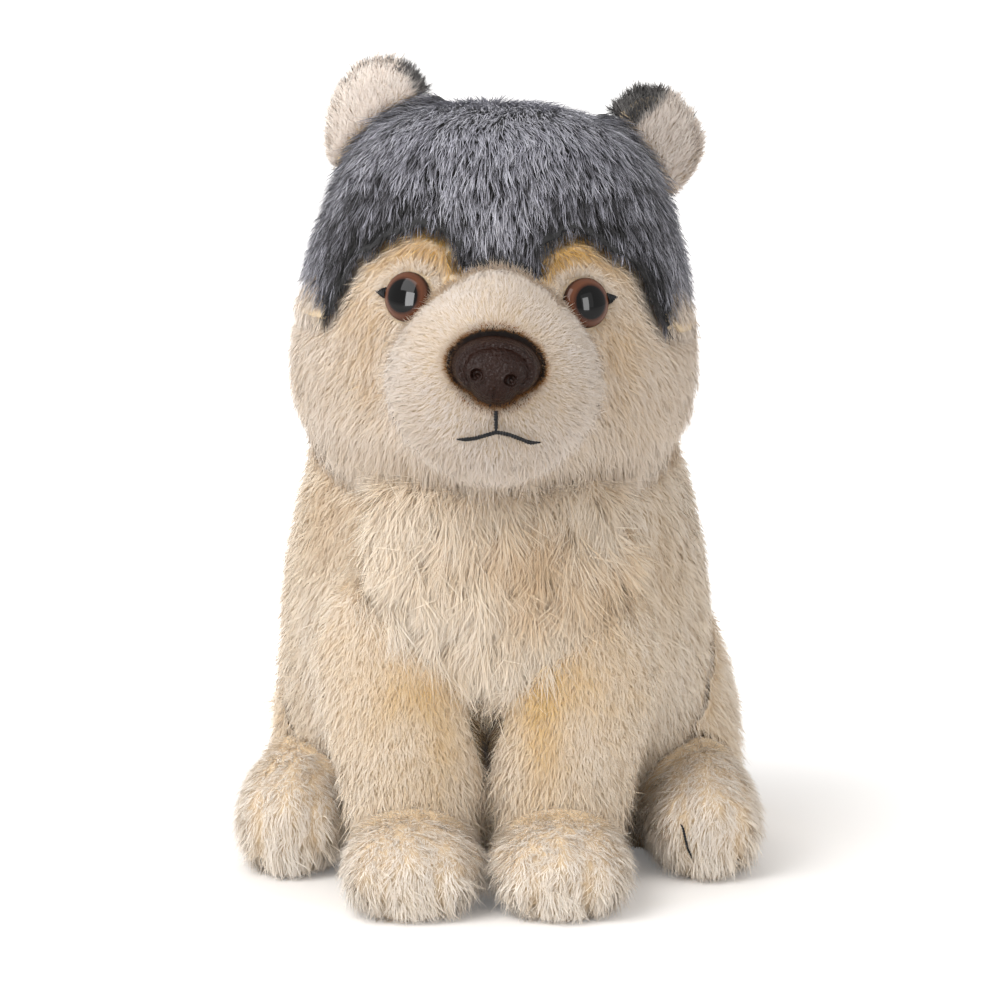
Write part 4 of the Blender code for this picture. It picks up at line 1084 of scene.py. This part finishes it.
for side_name in ("left", "right"):
    corner = "eye_corner_" + side_name
    middle, looks = EYES[side_name]
    aside = unit(from_eye(path_of(corner).mean(0)[None], middle, looks)[0])[0]
    wedge = np.array([middle + aside * far + looks * high for far, high in WEDGE])
    piece = twisted(corner + "_thread", [wedge], 0.0016, black, ends=(1.1, 0.08), full=(0.1, 0.2))
    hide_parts(corner)
    for end in ("front", "hind"):
        nodes = [f"toe_stitch_{end}_{side_name}_{which}" for which in ("inner", "outer")]
        lines = [path_of(node) for node in nodes]
        for line in lines:
            shown = end == "hind" and side_name == "right" and line[0, 0] < FOOT_X["right"]
            line += (0, 0.0014, 0) if shown else HIDDEN
            line[:, 0] += np.linspace(-0.0016, 0.0016, len(line)) * shown
        piece = twisted(f"toe_thread_{end}_{side_name}", lines, 0.00042, black, step=0.00036)
        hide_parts(*nodes)


# ---- Studio ------------------------------------------------------------------------
# A white floor under a soft, even sky, one large soft lamp at the viewer's left and two
# weaker ones. Two windows show only in the eyes and the nose. The camera looks down a
# little, as the photograph does.

def to_camera(material):
    """1 for rays that the camera, a gloss or a clear piece sends, and 0 for others."""
    rays = add(material, "ShaderNodeLightPath").outputs
    first = add(material, "ShaderNodeMath", [(0, rays["Is Camera Ray"]), (1, rays["Is Glossy Ray"])],
                operation="MAXIMUM").outputs["Value"]
    return add(material, "ShaderNodeMath", [(0, first), (1, rays["Is Transmission Ray"])],
               operation="MAXIMUM").outputs["Value"]


def floor_finish():
    """White paper sweep: it takes the soft shadow, and shows as white round it."""
    material, shader = finish("white paper sweep", Base_Color=linear("#F4F1EE"), Roughness=0.9)
    shader.inputs["Emission Color"].default_value = (1, 1, 1, 1)
    place = add(material, "ShaderNodeTexCoord")
    far = add(material, "ShaderNodeVectorMath", [(0, place.outputs["Object"])], operation="LENGTH")
    glow = add(material, "ShaderNodeMapRange", [("Value", far.outputs["Value"])],
               From_Min=0.09, From_Max=0.26, To_Min=0.12, To_Max=0.70)
    level = add(material, "ShaderNodeMath", [(0, to_camera(material)), (1, glow.outputs["Result"])],
                operation="MULTIPLY")
    material.node_tree.links.new(level.outputs["Value"], shader.inputs["Emission Strength"])
    return material


floor_mesh = bpy.data.meshes.new("floor")
floor_mesh.from_pydata([(-6, -6, 0), (6, -6, 0), (6, 6, 0), (-6, 6, 0)], [], [(0, 1, 2, 3)])
floor_mesh.materials.append(floor_finish())
floor = bpy.data.objects.new("floor", floor_mesh)
bpy.context.scene.collection.objects.link(floor)

world = bpy.data.worlds.new("soft sky")
world.use_nodes = True
bpy.context.scene.world = world
sky = world.node_tree.nodes["Background"]
sky.inputs["Color"].default_value = (1, 1, 1, 1)
SKY_LEVEL = 0.68
lift = add(world, "ShaderNodeMath", [(0, to_camera(world))], operation="MULTIPLY")
lift.inputs[1].default_value = 1.0 - SKY_LEVEL
level = add(world, "ShaderNodeMath", [(0, lift.outputs["Value"])], operation="ADD")
level.inputs[1].default_value = SKY_LEVEL
world.node_tree.links.new(level.outputs["Value"], sky.inputs["Strength"])


def lamp(name, place, aim, size, watts):
    """A soft box that faces its aim; size is its width and height."""
    light = bpy.data.lights.new(name, "AREA")
    light.shape, light.energy = "RECTANGLE", watts
    light.size, light.size_y = size
    thing = bpy.data.objects.new(name, light)
    thing.location = place
    thing.rotation_euler = (Vector(aim) - Vector(place)).to_track_quat("-Z", "Y").to_euler()
    bpy.context.scene.collection.objects.link(thing)
    return thing


AIM = (0.0, -0.02, 0.104)
lamp("key", (-0.90, -0.85, 1.30), AIM, (1.1, 1.1), 20.0)
lamp("fill", (1.2, -1.1, 0.6), AIM, (0.9, 0.9), 2.0)
lamp("back", (-0.3, 1.4, 1.0), AIM, (0.9, 0.9), 6.0)
for name, place, size, watts in (("window_left", (-0.80, -1.10, 0.36), (0.55, 0.75), 26.0),
                                 ("window_right", (0.95, -1.00, 0.36), (0.35, 0.65), 9.0)):
    window = lamp(name, place, AIM, size, watts)
    window.visible_diffuse = window.visible_transmission = False

DISTANCE = 1.5
ELEVATION = math.radians(10)
VIEW_WIDTH = 0.286           # what the photograph's width spans at the wolf
CAMERA_X = 0.00114           # the wolf sits this far left of the photograph's middle
camera = bpy.data.cameras.new("camera")
camera.sensor_width = 36.0
camera.lens = camera.sensor_width * DISTANCE / VIEW_WIDTH
eye_point = bpy.data.objects.new("camera", camera)
eye_point.location = (CAMERA_X, AIM[1] - DISTANCE * math.cos(ELEVATION),
                      AIM[2] + DISTANCE * math.sin(ELEVATION))
eye_point.rotation_euler = (math.radians(90) - ELEVATION, 0, 0)
bpy.context.scene.collection.objects.link(eye_point)
bpy.context.scene.camera = eye_point
bpy.context.scene.view_settings.view_transform = "Standard"
